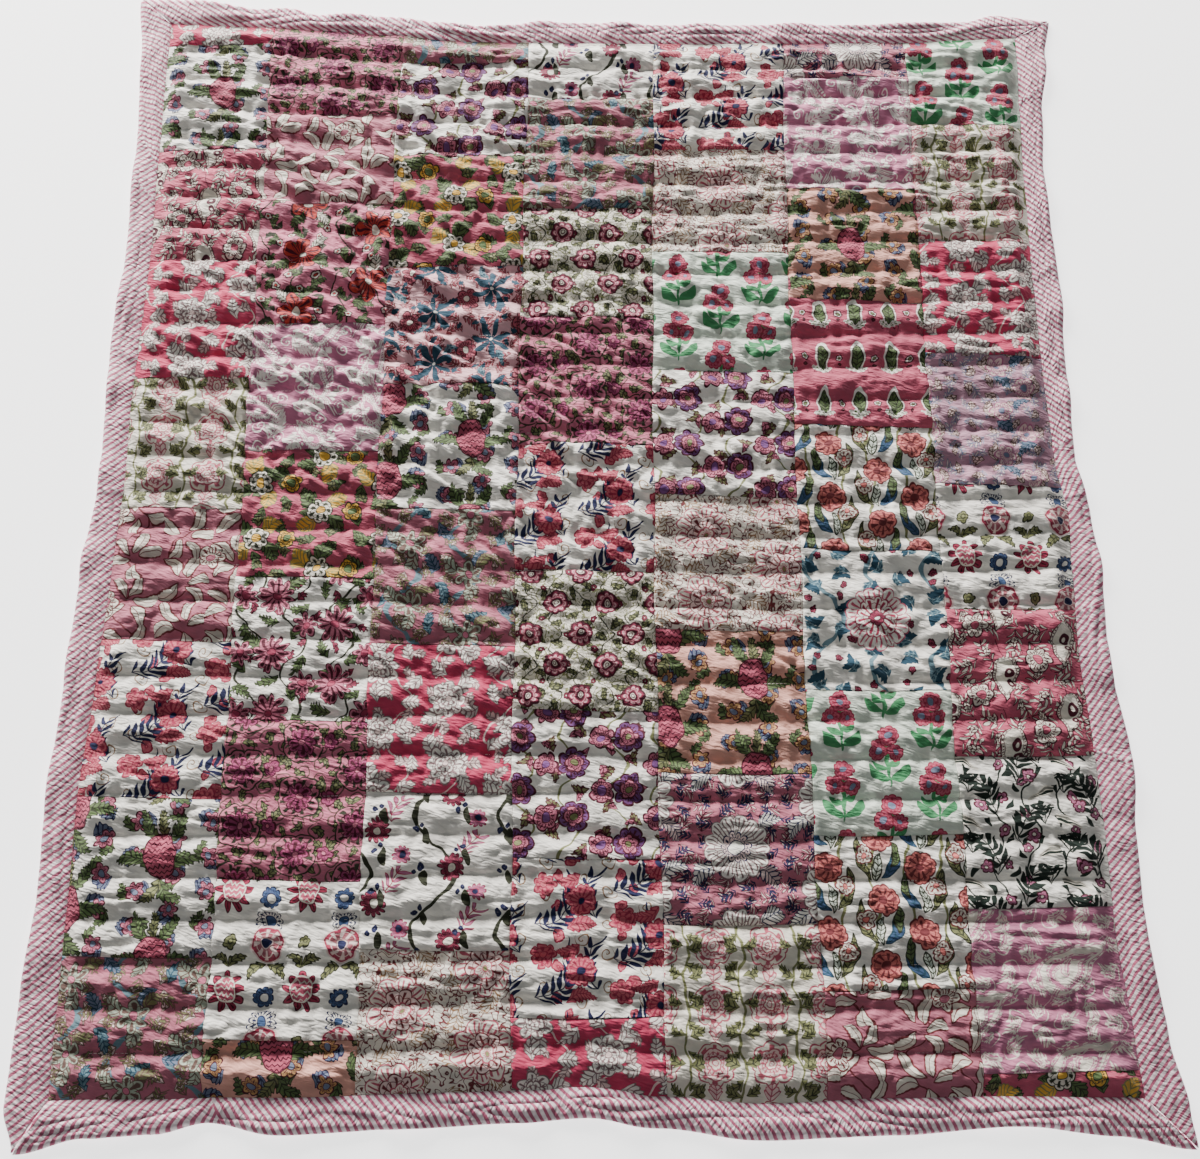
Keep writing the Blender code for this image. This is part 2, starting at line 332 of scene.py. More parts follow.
# %% The patch table, column by column from the top
Patch = namedtuple("Patch", "cotton lower_seam shift")
COLUMNS = [
    [
        Patch("hot_pink", 0.5435, (0, 0)), Patch("white_pineapple", 0.4035, (12, 8)),
        Patch("rose_paisley", 0.2665, (6, 4)), Patch("hot_pink", 0.1275, (-4, 6)),
        Patch("trellis", -0.0165, (3, 10)), Patch("dusty_leaves", -0.1515, (10, -6)),
        Patch("coral_navy", -0.3025, (0, 0)), Patch("white_pineapple", -0.4445, (18, 20)),
        Patch("teal_branch", None, (0, 12)),
    ],
    [
        Patch("plum_medallion", 0.4545, (0, 8)), Patch("dusty_leaves", 0.3395, (-12, 10)),
        Patch("red_flower", 0.1925, (-20, 8)), Patch("lilac_feather", 0.0475, (0, 0)),
        Patch("green_yellow", -0.0875, (14, 4)), Patch("carnation", -0.2295, (-4, 6)),
        Patch("plum_medallion", -0.3775, (6, 4)), Patch("pomegranate", -0.5145, (2, 0)),
        Patch("salmon_pineapple", None, (0, 20)),
    ],
    [
        Patch("teal_branch", 0.5255, (0, 0)), Patch("purple_floral", 0.4005, (8, 0)),
        Patch("green_yellow", 0.2635, (0, 20)), Patch("starry_leaves", 0.1225, (-16, 14)),
        Patch("white_pineapple", -0.0155, (26, 10)), Patch("teal_branch", -0.1545, (20, 4)),
        Patch("hot_pink", -0.2975, (10, 20)), Patch("crimson_vine", -0.4385, (0, 0)),
        Patch("toile", None, (-24, 10)),
    ],
    [
        Patch("crimson_vine", 0.4775, (10, 24)), Patch("teal_branch", 0.3365, (-8, 30)),
        Patch("rosette_scroll", 0.2015, (0, 6)), Patch("plum_medallion", 0.0565, (3, -6)),
        Patch("coral_navy", -0.0775, (22, 12)), Patch("rosette_scroll", -0.2185, (-2, 8)),
        Patch("purple_floral", -0.3575, (-12, 20)), Patch("coral_navy", -0.4965, (-18, 30)),
        Patch("hot_pink", None, (20, 0)),
    ],
    [
        Patch("coral_navy", 0.4125, (6, 40)), Patch("toile", 0.2825, (10, 14)),
        Patch("mint_booti", 0.1425, (0, 6)), Patch("purple_floral", 0.0025, (14, 12)),
        Patch("toile", -0.1385, (-16, 30)), Patch("salmon_pineapple", -0.2785, (24, 24)),
        Patch("chrysanthemum", -0.4165, (6, 4)), Patch("trellis", None, (0, 4)),
    ],
    [
        Patch("chrysanthemum", 0.5085, (20, 20)), Patch("lilac_feather", 0.3635, (20, 14)),
        Patch("salmon_pineapple", 0.2275, (0, 0)), Patch("rose_booti", 0.0815, (0, 4)),
        Patch("coral_tulip", -0.0545, (8, 8)), Patch("dahlia", -0.1975, (12, 4)),
        Patch("mint_booti", -0.3355, (6, 10)), Patch("coral_tulip", -0.4735, (-14, 0)),
        Patch("dusty_leaves", None, (14, 16)),
    ],
    [
        Patch("mint_booti", 0.4505, (-2, 4)), Patch("trellis", 0.3025, (16, 14)),
        Patch("hot_pink", 0.1635, (-14, 0)), Patch("grey_lilac", 0.0165, (0, 0)),
        Patch("pomegranate", -0.1145, (10, 16)), Patch("rose_paisley", -0.2605, (-6, 10)),
        Patch("dark_leaves", -0.4015, (0, 0)), Patch("lilac_paisley", -0.5435, (4, 6)),
        Patch("green_yellow", None, (0, 10)),
    ],
]
print("patches:", sum(len(column) for column in COLUMNS))

# %% Seams that waver by about a millimetre
SEAM_WAVER = 0.0012
ROW_WAVER = 0.0013


def column_seam(number, y):
    """The x of a seam between columns, 0 for the left side of the quilt and 7 for the right."""
    if number == 0:
        return side_line("left", SEAM, y)
    if number == len(COLUMNS):
        return side_line("right", SEAM, y)
    bend = np.polyfit(COLUMN_SEAMS_AT, COLUMN_SEAMS[number - 1], 2)
    return np.polyval(bend, y) + SEAM_WAVER * np.sin(y * 31.0 + number * 2.0)


def row_seam(seam, side, x):
    """The y of a seam across a column. None stands for the quilt's own top or bottom seam."""
    if seam is None:
        return side_line(side, SEAM, x)
    return seam + ROW_WAVER * np.sin(x * 23.0 + seam * 40.0)


# %% [markdown]
# ## The patches
#
# A patch with its share of the wadding is a small pad: a quilted top, low walls where it is sewn
# to its neighbours, and a flat underside on the back cloth. One flat tile is modelled by hand,
# as a grid whose rim is extruded down and filled, and every patch is a copy of such a tile whose
# points are moved to their places. A finer first row of faces makes room for the groove of the
# seam. The piece's own UV map holds the cloth in metres, so each print lies as it was cut.

# %% A closed tile
TILES = {}


def deselect_all():
    bpy.ops.object.select_all(action="DESELECT")


def flat_grid(columns, rows, height):
    """A flat grid from 0 to 1 in x and y, at the given height."""
    deselect_all()
    bpy.ops.mesh.primitive_grid_add(
        x_subdivisions=columns, y_subdivisions=rows, size=1, location=(0.5, 0.5, height)
    )
    bpy.ops.object.transform_apply(location=True, rotation=True, scale=True)
    return bpy.context.active_object


def tile(columns, rows):
    """A closed tile from 0 to 1 in x and y: a grid on top at 1, walls, and a floor at 0."""
    if (columns, rows) not in TILES:
        made = flat_grid(columns, rows, 1.0)
        bpy.ops.object.mode_set(mode="EDIT")
        bpy.ops.mesh.select_all(action="SELECT")
        bpy.ops.mesh.region_to_loop()
        bpy.ops.mesh.extrude_edges_move(TRANSFORM_OT_translate={"value": (0.0, 0.0, -1.0)})
        bpy.ops.mesh.edge_face_add()
        bpy.ops.mesh.poke()
        bpy.ops.mesh.select_all(action="SELECT")
        bpy.ops.mesh.normals_make_consistent(inside=False)
        bpy.ops.object.mode_set(mode="OBJECT")
        TILES[columns, rows] = made.data.copy()
        bpy.data.objects.remove(made)
    return TILES[columns, rows].copy()


# %% Points, and the map of the cloth
def points_of(mesh):
    places = np.empty(len(mesh.vertices) * 3)
    mesh.vertices.foreach_get("co", places)
    return places.reshape(-1, 3)


def set_points(mesh, places):
    mesh.vertices.foreach_set("co", np.asarray(places, dtype=np.float32).ravel())
    mesh.update()


def cloth_layer(mesh):
    """The UV map that holds the cloth's own coordinates, in metres."""
    layer = mesh.uv_layers[0] if mesh.uv_layers else mesh.uv_layers.new()
    layer.name = "cloth"
    return layer


def set_cloth_map(mesh, u, v):
    """Writes the cloth's coordinates, given for each point, to each corner of each face."""
    corner_point = np.empty(len(mesh.loops), dtype=np.int32)
    mesh.loops.foreach_get("vertex_index", corner_point)
    places = np.stack([u[corner_point], v[corner_point]], axis=1).astype(np.float32)
    cloth_layer(mesh).data.foreach_set("uv", places.ravel())


def add_piece(name, mesh):
    piece = bpy.data.objects.new(name, mesh)
    bpy.context.scene.collection.objects.link(piece)
    mesh.shade_smooth()
    return piece


# %% One padded patch
TOP_STEP = 0.0020
GROOVE_EDGE = 0.0009
GROOVE_DEPTH = 0.0008
GROOVE_WIDTH = 0.0022
ALLOWANCE_HEIGHT = 0.0004
ALLOWANCE_WIDTH = 0.007
ALLOWANCE_END = 1.6
SEAM_GAP = 0.00012
PAD_FLOOR = 0.0019


def with_fine_rim(share, steps, length):
    """Even steps along a patch, with a first and last step of only GROOVE_EDGE."""
    fine = GROOVE_EDGE / length
    step = share * steps
    inner = fine + (1 - 2 * fine) * (step - 1) / (steps - 2)
    return np.where(step < 1, fine * step, np.where(step > steps - 1, 1 - fine * (steps - step), inner))


def make_pad(name, column, patch, upper):
    """One patch of the top, between its four seams, with the wadding under it."""
    middle = mix(patch.lower_seam or LOWEST_SEAM, upper or HIGHEST_SEAM, 0.5)
    left, right = column_seam(column, middle), column_seam(column + 1, middle)
    high = float(row_seam(upper, "top", (left + right) / 2))
    low = float(row_seam(patch.lower_seam, "bottom", (left + right) / 2))
    width, height = float(right - left), high - low
    columns, rows = max(round(width / TOP_STEP), 8), max(round(height / TOP_STEP), 6)
    mesh = tile(columns, rows)
    share_x, share_y, on_top = points_of(mesh).T
    share_x = with_fine_rim(share_x, columns, width)
    share_y = with_fine_rim(share_y, rows, height)
    y = mix(low, high, share_y)
    for _ in range(3):
        x = mix(column_seam(column, y) + SEAM_GAP, column_seam(column + 1, y) - SEAM_GAP, share_x)
        low_y = row_seam(patch.lower_seam, "bottom", x) + SEAM_GAP
        y = mix(low_y, row_seam(upper, "top", x) - SEAM_GAP, share_y)
    groove = GROOVE_DEPTH * np.exp(-((to_side(share_x, share_y, width, height) / GROOVE_WIDTH) ** 2))
    to_pressed_side = np.minimum(share_x * width, share_y * height)
    allowance = ALLOWANCE_HEIGHT * ease(ALLOWANCE_END - to_pressed_side / ALLOWANCE_WIDTH)
    top = np.maximum(quilt_height(x, y) - groove + allowance, LOWEST_TOP)
    set_points(mesh, np.stack([x, y, np.where(on_top > 0.5, top, PAD_FLOOR)], axis=1))
    u = x - (left + right) / 2 - patch.shift[0] / 1000
    v = y - (low + high) / 2 - patch.shift[1] / 1000
    set_cloth_map(mesh, u, v)
    pad = add_piece(name, mesh)
    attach(pad, "root")
    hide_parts("quilt_centre")
    return pad


# %% Sew the sixty-two patches
pads = []
for column, patches in enumerate(COLUMNS):
    upper = None
    for number, patch in enumerate(patches):
        pad = make_pad(f"patch_{column + 1}_{number + 1}_{patch.cotton}", column, patch, upper)
        pads.append((pad, patch.cotton))
        upper = patch.lower_seam
patch_triangles = sum(len(polygon.vertices) - 2 for pad, _ in pads for polygon in pad.data.polygons)
print("patch triangles:", patch_triangles)

# %% [markdown]
# ## The back
#
# The back is one plain cotton sheet. It lies flat on the floor, and the rows of stitching pull
# it up a little, so a face that is turned over shows the same rows as the top. It is a grid
# placed on the outline of the inner seam, and Solidify gives it the thickness of its cloth.

# %% Back sheet
BACK_THICKNESS = 0.0011
BACK_DIMPLE = 0.0006
BACK_COLUMNS = 44
BACK_ROWS = CHANNELS * 8
BACK_EDGE_FADE = 40


def thicken(piece, thickness):
    """Gives a sheet its thickness upwards, and applies it."""
    shell = piece.modifiers.new("cloth_thickness", "SOLIDIFY")
    shell.thickness = thickness
    shell.offset = 1.0
    shell.use_even_offset = False
    bpy.context.view_layer.objects.active = piece
    bpy.ops.object.modifier_apply(modifier=shell.name)


def centre_plan(across, up):
    """The plan of the padded centre, stretched between its four seams."""
    x = mix(seam_at("left", up), seam_at("right", up), across)
    y = mix(seam_at("bottom", across), seam_at("top", across), up)
    return x, y


# %% Lay the back
back = flat_grid(BACK_COLUMNS, BACK_ROWS, 0.0)
back.name = "quilt_back"
across, up, _ = points_of(back.data).T
x, y = centre_plan(across, up)
stitched = np.cos(math.pi * CHANNELS * up) ** 8 * ease(np.minimum(across, 1 - across) * BACK_EDGE_FADE)
dimples = BACK_DIMPLE * stitched * ease(np.minimum(up, 1 - up) * BACK_EDGE_FADE)
set_points(back.data, np.stack([x, y, dimples], axis=1))
set_cloth_map(back.data, x, y)
thicken(back, BACK_THICKNESS)
back.data.shade_smooth()
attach(back, "root")
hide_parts("quilt_centre")
print("back sheet:", [round(size, 3) for size in back.dimensions])

# %% [markdown]
# ## The striped border
#
# The border is a narrow strip on each side, folded double and mitred at the corners. Its outer
# edge is loose, so it ripples on the floor. The maker cut it on the slant from striped cotton and
# pieced it from short lengths, so the stripes change direction at the joins. A strip is a grid
# between seam and hem. The grid's own lines lean over at a slanted join, so that the stripes can
# change exactly there, and the UV map is turned piece by piece: stripes always run along its v.

# %% The pieced lengths
# From each strip's left or lower end: where the piece ends along the strip, in metres, the turn
# of its stripes from straight across the strip, and the lean of the join there
Join = namedtuple("Join", "end turn lean")
JOINS = {
    "left": [Join(0.005, -43, 0.0), Join(0.155, -40, 0.3), Join(0.345, -44, 0.0), Join(0.395, -38, 0.9),
             Join(0.700, 24, 0.0)],
    "bottom": [Join(-0.330, 42, 0.8), Join(-0.135, -40, 0.0), Join(0.700, -44, 0.0)],
    "right": [Join(-0.250, -46, 0.2), Join(-0.105, -48, 0.7), Join(0.012, -44, 0.3), Join(0.068, -52, 0.5),
              Join(0.265, 40, 0.4), Join(0.485, 44, 0.0), Join(0.700, 42, 0.0)],
    "top": [Join(-0.250, -58, 0.2), Join(0.020, -62, 0.0), Join(0.300, -56, 0.4), Join(0.700, -60, 0.0)],
}
print("pieced lengths:", {side: len(joins) for side, joins in JOINS.items()})

# %% The line and the lift of a strip
RIPPLE_HEIGHT = 0.0042
RIPPLE_PITCH = 0.118
FOLD_HEIGHT = 0.0056
FOLDED = {"left": 0.6, "bottom": 1.0, "right": 0.4, "top": 0.8}
SLACK_HEIGHT = 0.0011
FLAT_CORNER = 0.055
BORDER_WIDTH = 0.035


def strip_line(side, column, share):
    """Points of a strip's seam or hem at shares of its length."""
    along = mix(*side_ends(side, column), share)
    other = side_line(side, column, along)
    if side in ("left", "right"):
        return other, along
    return along, other


def strip_lift(side, along, outward, from_corner):
    """The height of the border's lower face: ripples at the hem, pressed folds, and loose slack."""
    wave = np.sin(2 * math.pi * along / RIPPLE_PITCH + 2.2 * np.sin(along * 7.0))
    free = ease(from_corner / FLAT_CORNER - 0.3)
    ripple = RIPPLE_HEIGHT * np.maximum(wave, 0.0) * free * outward**1.5
    seed = 31 + len(side)
    across = outward * BORDER_WIDTH + 0.013 * np.sin(along * 15.0 + seed)
    folds = np.abs(smooth_noise(along, across, 0.080, 0.011, seed))
    ridges = np.maximum(1.0 - folds * 3.4, 0.0)
    pressed = FOLD_HEIGHT * FOLDED[side] * (0.6 * ridges + folds)
    slack = SLACK_HEIGHT * (smooth_noise(along, outward * BORDER_WIDTH, 0.020, 0.018, seed + 3) + 1.0)
    inner = np.sin(math.pi * np.clip(outward, 0, 1)) ** 0.6
    return ripple + inner * (pressed + slack)


# %% The stripes' map
STRIPE_JOG = 0.0021


def map_strip(mesh, side, step_share, along, across, start, end):
    """Turns the cloth map of each pieced length so that its stripes run along v."""
    outward = 1.0 if side in ("right", "bottom") else -1.0
    cloth_map = np.zeros((len(mesh.loops), 2), dtype=np.float32)
    for polygon in mesh.polygons:
        middle = mix(start, end, float(np.mean(step_share[list(polygon.vertices)])))
        number = next(n for n, join in enumerate(JOINS[side]) if middle <= join.end)
        turn = math.radians(JOINS[side][number].turn)
        for loop in polygon.loop_indices:
            point = mesh.loops[loop].vertex_index
            a, b = along[point], across[point] * outward
            cloth_map[loop] = (
                a * math.cos(turn) + b * math.sin(turn) + STRIPE_JOG * number,
                b * math.cos(turn) - a * math.sin(turn),
            )
    cloth_layer(mesh).data.foreach_set("uv", cloth_map.ravel())


# %% One strip
BORDER_THICKNESS = 0.002
GAP = 0.0003
BORDER_STEP = 0.0030
BORDER_ROWS = 20
FOLD_TAKE = 0.8
JOIN_REACH = 0.045
JOIN_WIDTH = 0.034
JOIN_RIDGE = (0.0009, 0.0036)
HEM_RIDGE = (0.0006, 0.09)
HEM_RIDGE_AT = 0.86


def make_strip(side):
    long_side = 2 * (HALF_LENGTH if side in ("left", "right") else HALF_WIDTH)
    steps = round(long_side / BORDER_STEP)
    strip = flat_grid(steps, BORDER_ROWS, 0.0)
    strip.name = "striped_border_" + side
    share, outward, _ = points_of(strip.data).T
    step_share = share.copy()
    trim = 1.5 * GAP / long_side
    start, end = side_ends(side, SEAM)
    for join in JOINS[side][:-1]:
        join_share = (join.end - start) / (end - start)
        near = np.exp(-(((share - join_share) * long_side / JOIN_REACH) ** 2))
        share = share + near * join.lean * (outward - 0.5) * JOIN_WIDTH / long_side
    share = mix(trim, 1 - trim, np.clip(share, 0, 1))
    seam_x, seam_y = strip_line(side, SEAM, share)
    hem_x, hem_y = strip_line(side, HEM, share)
    away = GAP if side in ("right", "top") else -GAP
    if side in ("left", "right"):
        seam_x = seam_x + away
    else:
        seam_y = seam_y + away
    x, y = mix(seam_x, hem_x, outward), mix(seam_y, hem_y, outward)
    along = y if side in ("left", "right") else x
    across = np.abs(x - seam_x) if side in ("left", "right") else np.abs(y - seam_y)
    lift = strip_lift(side, along, outward, np.minimum(share, 1 - share) * long_side)
    for join in JOINS[side][:-1]:
        join_share = (join.end - start) / (end - start)
        from_join = (step_share - join_share) * long_side
        lift = lift + JOIN_RIDGE[0] * np.exp(-((from_join / JOIN_RIDGE[1]) ** 2)) * (1 - outward**6)
    hem_fold = HEM_RIDGE[0] * np.exp(-(((outward - HEM_RIDGE_AT) / HEM_RIDGE[1]) ** 2))
    set_points(strip.data, np.stack([x, y, lift + hem_fold], axis=1))
    map_strip(strip.data, side, step_share, along, across + FOLD_TAKE * lift, start, end)
    if strip.data.polygons[0].normal.z < 0:
        strip.data.flip_normals()
    thicken(strip, BORDER_THICKNESS)
    strip.data.shade_smooth()
    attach(strip, "root")
    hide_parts("border_" + side)
    width = float(np.mean(np.hypot(hem_x - seam_x, hem_y - seam_y)))
    print(strip.name, "mean width in mm:", round(width * 1000, 1))
    return strip


# %% Sew the four strips
strips = [make_strip(side) for side in ("left", "right", "bottom", "top")]

# %% [markdown]
# ## The quilting stitches
#
# Thread shows as short stitches in the valleys between the channels. One stitch is modelled as a
# small five-sided cylinder, pressed a little flat, and laid down thousands of times in one mesh,
# with each copy at the height and slope of the cloth. It has few faces, because it is so small.

# %% Stitches
STITCH_LENGTH = 0.0027
STITCH_PITCH = 0.0039
STITCH_RADIUS = 0.00032
STITCH_FLATNESS = 0.7


def one_stitch():
    """A thin cylinder along X, pressed a little flat, as points and faces."""
    deselect_all()
    bpy.ops.mesh.primitive_cylinder_add(
        vertices=5, radius=STITCH_RADIUS, depth=STITCH_LENGTH, end_fill_type="NGON"
    )
    thread = bpy.context.active_object
    bpy.ops.object.mode_set(mode="EDIT")
    bpy.ops.mesh.select_all(action="SELECT")
    bpy.ops.transform.rotate(value=math.pi / 2, orient_axis="Y", center_override=(0.0, 0.0, 0.0))
    bpy.ops.transform.resize(value=(1.0, 1.0, STITCH_FLATNESS))
    bpy.ops.object.mode_set(mode="OBJECT")
    points = points_of(thread.data)
    faces = [list(polygon.vertices) for polygon in thread.data.polygons]
    bpy.data.objects.remove(thread)
    return points, faces


# %% Lay the rows of stitches
ROW_LENGTH = 0.96
ROW_OFFSET = 0.3
ROW_ENDS = (0.004, 0.996)


def lay_stitches():
    points, faces = one_stitch()
    count = int(ROW_LENGTH / STITCH_PITCH)
    rows = np.repeat(np.arange(1, CHANNELS), count)
    share = np.tile((np.arange(count) + 0.5) / count, CHANNELS - 1)
    share = share + np.where(rows % 2 == 0, ROW_OFFSET, 0.0) / count
    up = rows / CHANNELS
    x, y = centre_plan(np.clip(share, *ROW_ENDS), up)
    y = y + stitch_wave(x, y, share, up)
    heights = quilt_height(x, y)
    step = 0.001
    slope = np.clip((quilt_height(x + step, y) - heights) / step, -0.5, 0.5)
    placed = np.empty((len(x), len(points), 3))
    placed[:, :, 0] = x[:, None] + points[None, :, 0]
    placed[:, :, 1] = y[:, None] + points[None, :, 1]
    placed[:, :, 2] = heights[:, None] + slope[:, None] * points[None, :, 0] + points[None, :, 2]
    print("stitches:", len(x))
    mesh = bpy.data.meshes.new("quilting_stitches")
    all_faces = [[index + n * len(points) for index in face] for n in range(len(x)) for face in faces]
    mesh.from_pydata(placed.reshape(-1, 3).tolist(), [], all_faces)
    mesh.update()
    return add_piece("quilting_stitches", mesh)


stitches = lay_stitches()
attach(stitches, "root")

# %% [markdown]
# ## How a print is built
#
# Each cotton is block printed: a ground colour, and motifs stamped over it in a repeat. Image
# textures aren't used here, so every motif is a formula in a shader node group: a bloom, a leaf,
# a leafy spray, a paisley, a scroll, a vine, a scaled cone. Each group takes the colour below it
# and puts out that colour with the motif printed on top, so a print is a chain of groups.
#
# The helper class Wire stands for a node's output. Adding or multiplying two wires makes a Math
# node, so a long chain of nodes reads like arithmetic. All lengths inside a print are in
# millimetres of cloth.

# %% Inks, as screen colours from 0 to 255
INKS = {
    "white": (243, 240, 230), "cream": (232, 226, 210), "ivory": (236, 228, 214),
    "mint": (222, 233, 217), "pink": (206, 112, 138), "dusty": (188, 106, 126),
    "light_pink": (230, 178, 184), "salmon": (228, 166, 148), "rose": (194, 84, 110),
    "hot": (200, 54, 94), "lilac": (196, 118, 150), "grey_lilac": (188, 140, 160),
    "maroon": (80, 16, 38), "crimson": (158, 36, 70), "coral": (206, 98, 112),
    "soft_coral": (212, 112, 106), "dull_rose": (182, 84, 102), "wine": (158, 50, 82),
    "red": (200, 58, 46), "brown_red": (112, 42, 48), "purple": (116, 66, 128), "green": (66, 146, 92),
    "leaf": (96, 120, 70), "olive": (128, 132, 84), "dark_olive": (48, 52, 34),
    "dark_green": (24, 40, 32), "teal": (104, 138, 150), "dark_teal": (28, 70, 90),
    "navy": (26, 32, 74), "blue": (62, 90, 132), "blue_grey": (116, 128, 154),
    "mustard": (230, 176, 52), "ochre": (208, 158, 100), "pale_pink": (232, 206, 200),
    "mauve": (182, 104, 140), "brown": (104, 78, 70), "grey_brown": (134, 106, 108),
    "berry": (168, 62, 112), "sage": (176, 190, 168), "ochre_brown": (148, 112, 78),
    "stripe": (190, 94, 126), "stripe_ground": (248, 232, 235), "back": (226, 206, 206),
}
WASHED_OUT = 0.08


def linear_value(byte):
    """One part of a screen colour, 0 to 255, as the linear value that a shader wants."""
    share = byte / 255
    return share / 12.92 if share <= 0.04045 else ((share + 0.055) / 1.055) ** 2.4


def ink(name):
    """A named colour for a shader, a little greyer from many washes."""
    linear = [linear_value(byte) for byte in INKS[name]]
    grey = sum(linear) / 3
    return (*[mix(value, grey, WASHED_OUT) for value in linear], 1.0)


print("inks:", len(INKS))


# %% Adding nodes
class Nodes:
    """Adds nodes to one tree, in the order in which they are worked out."""

    def __init__(self, tree):
        self.tree = tree

    def add(self, kind, inputs=(), **settings):
        node = self.tree.nodes.new(kind)
        for name, value in settings.items():
            setattr(node, name, value)
        for name, value in dict(inputs).items():
            self.join(value, node.inputs[name])
        return node

    def join(self, value, socket):
        if isinstance(value, Wire):
            self.tree.links.new(value.socket, socket)
        else:
            socket.default_value = value

    def blend(self, below, above, mask):
        """Prints one colour over another where the mask is 1."""
        node = self.add("ShaderNodeMix", data_type="RGBA")
        self.join(mask, node.inputs[0])
        self.join(below, node.inputs[6])
        self.join(above, node.inputs[7])
        return Wire(self, node.outputs[2])

    def parts(self, vector):
        node = self.add("ShaderNodeSeparateXYZ", {0: vector})
        return Wire(self, node.outputs[0]), Wire(self, node.outputs[1])

    def vector(self, operation, *values):
        node = self.add("ShaderNodeVectorMath", enumerate(values), operation=operation)
        return Wire(self, node.outputs["Value" if operation == "LENGTH" else "Vector"])

    def smaller(self, first, second):
        return first.math("MINIMUM", second)

    def turned(self, vector, angle):
        """A place turned about the middle, by an angle in radians."""
        inputs = {"Vector": vector, "Angle": angle}
        node = self.add("ShaderNodeVectorRotate", inputs, rotation_type="Z_AXIS")
        return Wire(self, node.outputs[0])

    def flat_noise(self, vector, scale, **sizes):
        """A noise texture on flat cloth. Returns its grey value and its colour."""
        inputs = {"Vector": vector, "Scale": scale}
        inputs.update({name.capitalize(): value for name, value in sizes.items()})
        node = self.add("ShaderNodeTexNoise", inputs, noise_dimensions="2D")
        return Wire(self, node.outputs["Fac"]), Wire(self, node.outputs["Color"])


# %% Arithmetic with node outputs
class Wire:
    """One node's output, with the arithmetic that can be done to it."""

    def __init__(self, nodes, socket):
        self.nodes = nodes
        self.socket = socket

    def math(self, operation, *others, clamp=False):
        inputs = enumerate((self, *others))
        node = self.nodes.add("ShaderNodeMath", inputs, operation=operation, use_clamp=clamp)
        return Wire(self.nodes, node.outputs[0])

    def __add__(self, other):
        return self.math("ADD", other)

    def __sub__(self, other):
        return self.math("SUBTRACT", other)

    def __rsub__(self, other):
        return self.math("MULTIPLY_ADD", -1.0, other)

    def __mul__(self, other):
        return self.math("MULTIPLY", other)

    def __truediv__(self, other):
        return self.math("DIVIDE", other)

    __radd__ = __add__
    __rmul__ = __mul__

    def __abs__(self):
        return self.math("ABSOLUTE")

    def cos(self):
        return self.math("COSINE")

    def cell(self):
        """The distance to the nearest whole number, from -0.5 to 0.5."""
        return self - self.math("ROUND")

    def shown(self, sharpness=2.6):
        """A mask: 1 where this is above 0, with an edge that isn't quite hard."""
        return self.math("MULTIPLY_ADD", sharpness, 0.5, clamp=True)


# %% An empty node group
SOCKET_KINDS = {1: "NodeSocketFloat", 3: "NodeSocketVector", 4: "NodeSocketColor"}


def new_group(name, inputs, outputs):
    """An empty node group. Its sockets come from two short tables of name and first value."""
    tree = bpy.data.node_groups.new(name, "ShaderNodeTree")
    for way, sockets in (("INPUT", inputs), ("OUTPUT", outputs)):
        for label, value in sockets.items():
            kind = SOCKET_KINDS[np.size(value)]
            socket = tree.interface.new_socket(name=label, in_out=way, socket_type=kind)
            if way == "INPUT":
                socket.default_value = value
    nodes = Nodes(tree)
    way_in = nodes.add("NodeGroupInput")
    return nodes, {label: Wire(nodes, way_in.outputs[label]) for label in inputs}


def end_group(nodes, **outputs):
    way_out = nodes.add("NodeGroupOutput")
    for label, wire in outputs.items():
        nodes.join(wire, way_out.inputs[label])


COLOUR = (0.5, 0.5, 0.5, 1.0)
PLACE = (0.0, 0.0, 0.0)

# %% [markdown]
# ### The repeat
#
# A printer stamps the same block again and again. In a half-drop repeat, every second column sits
# half a block lower. This group turns a place on the cloth into a place within its own block,
# measured from the block's middle. It can turn every second column into a mirror image, or spin
# each block by its own angle, as in a tossed print that has no up and down.

# %% Repeat group
def repeat_group():
    nodes, get = new_group(
        "block_repeat",
        {"Cloth": PLACE, "At": PLACE,
         "Width": 60.0, "Height": 60.0, "Drop": 0.5, "Flip": 0.0, "Spin": 0.0},
        {"Block": PLACE},
    )
    u, v = nodes.parts(nodes.vector("SUBTRACT", get["Cloth"], get["At"]))
    column = (u / get["Width"]).math("ROUND")
    x = u - column * get["Width"]
    odd = column.math("PINGPONG", 1.0)
    rows = v / get["Height"] - odd * get["Drop"]
    row = rows.math("ROUND")
    y = (rows - row) * get["Height"]
    x = x * (1.0 - odd * get["Flip"] * 2.0)
    block = nodes.add("ShaderNodeCombineXYZ", {0: x, 1: y})
    angle = (column * 2.4 + row * 3.9) * get["Spin"]
    end_group(nodes, Block=nodes.turned(Wire(nodes, block.outputs[0]), angle))
    return nodes.tree


def round_place(nodes, vector):
    """The distance of a place from the middle, and its angle round it."""
    x, y = nodes.parts(vector)
    return nodes.vector("LENGTH", vector), y.math("ARCTAN2", x)


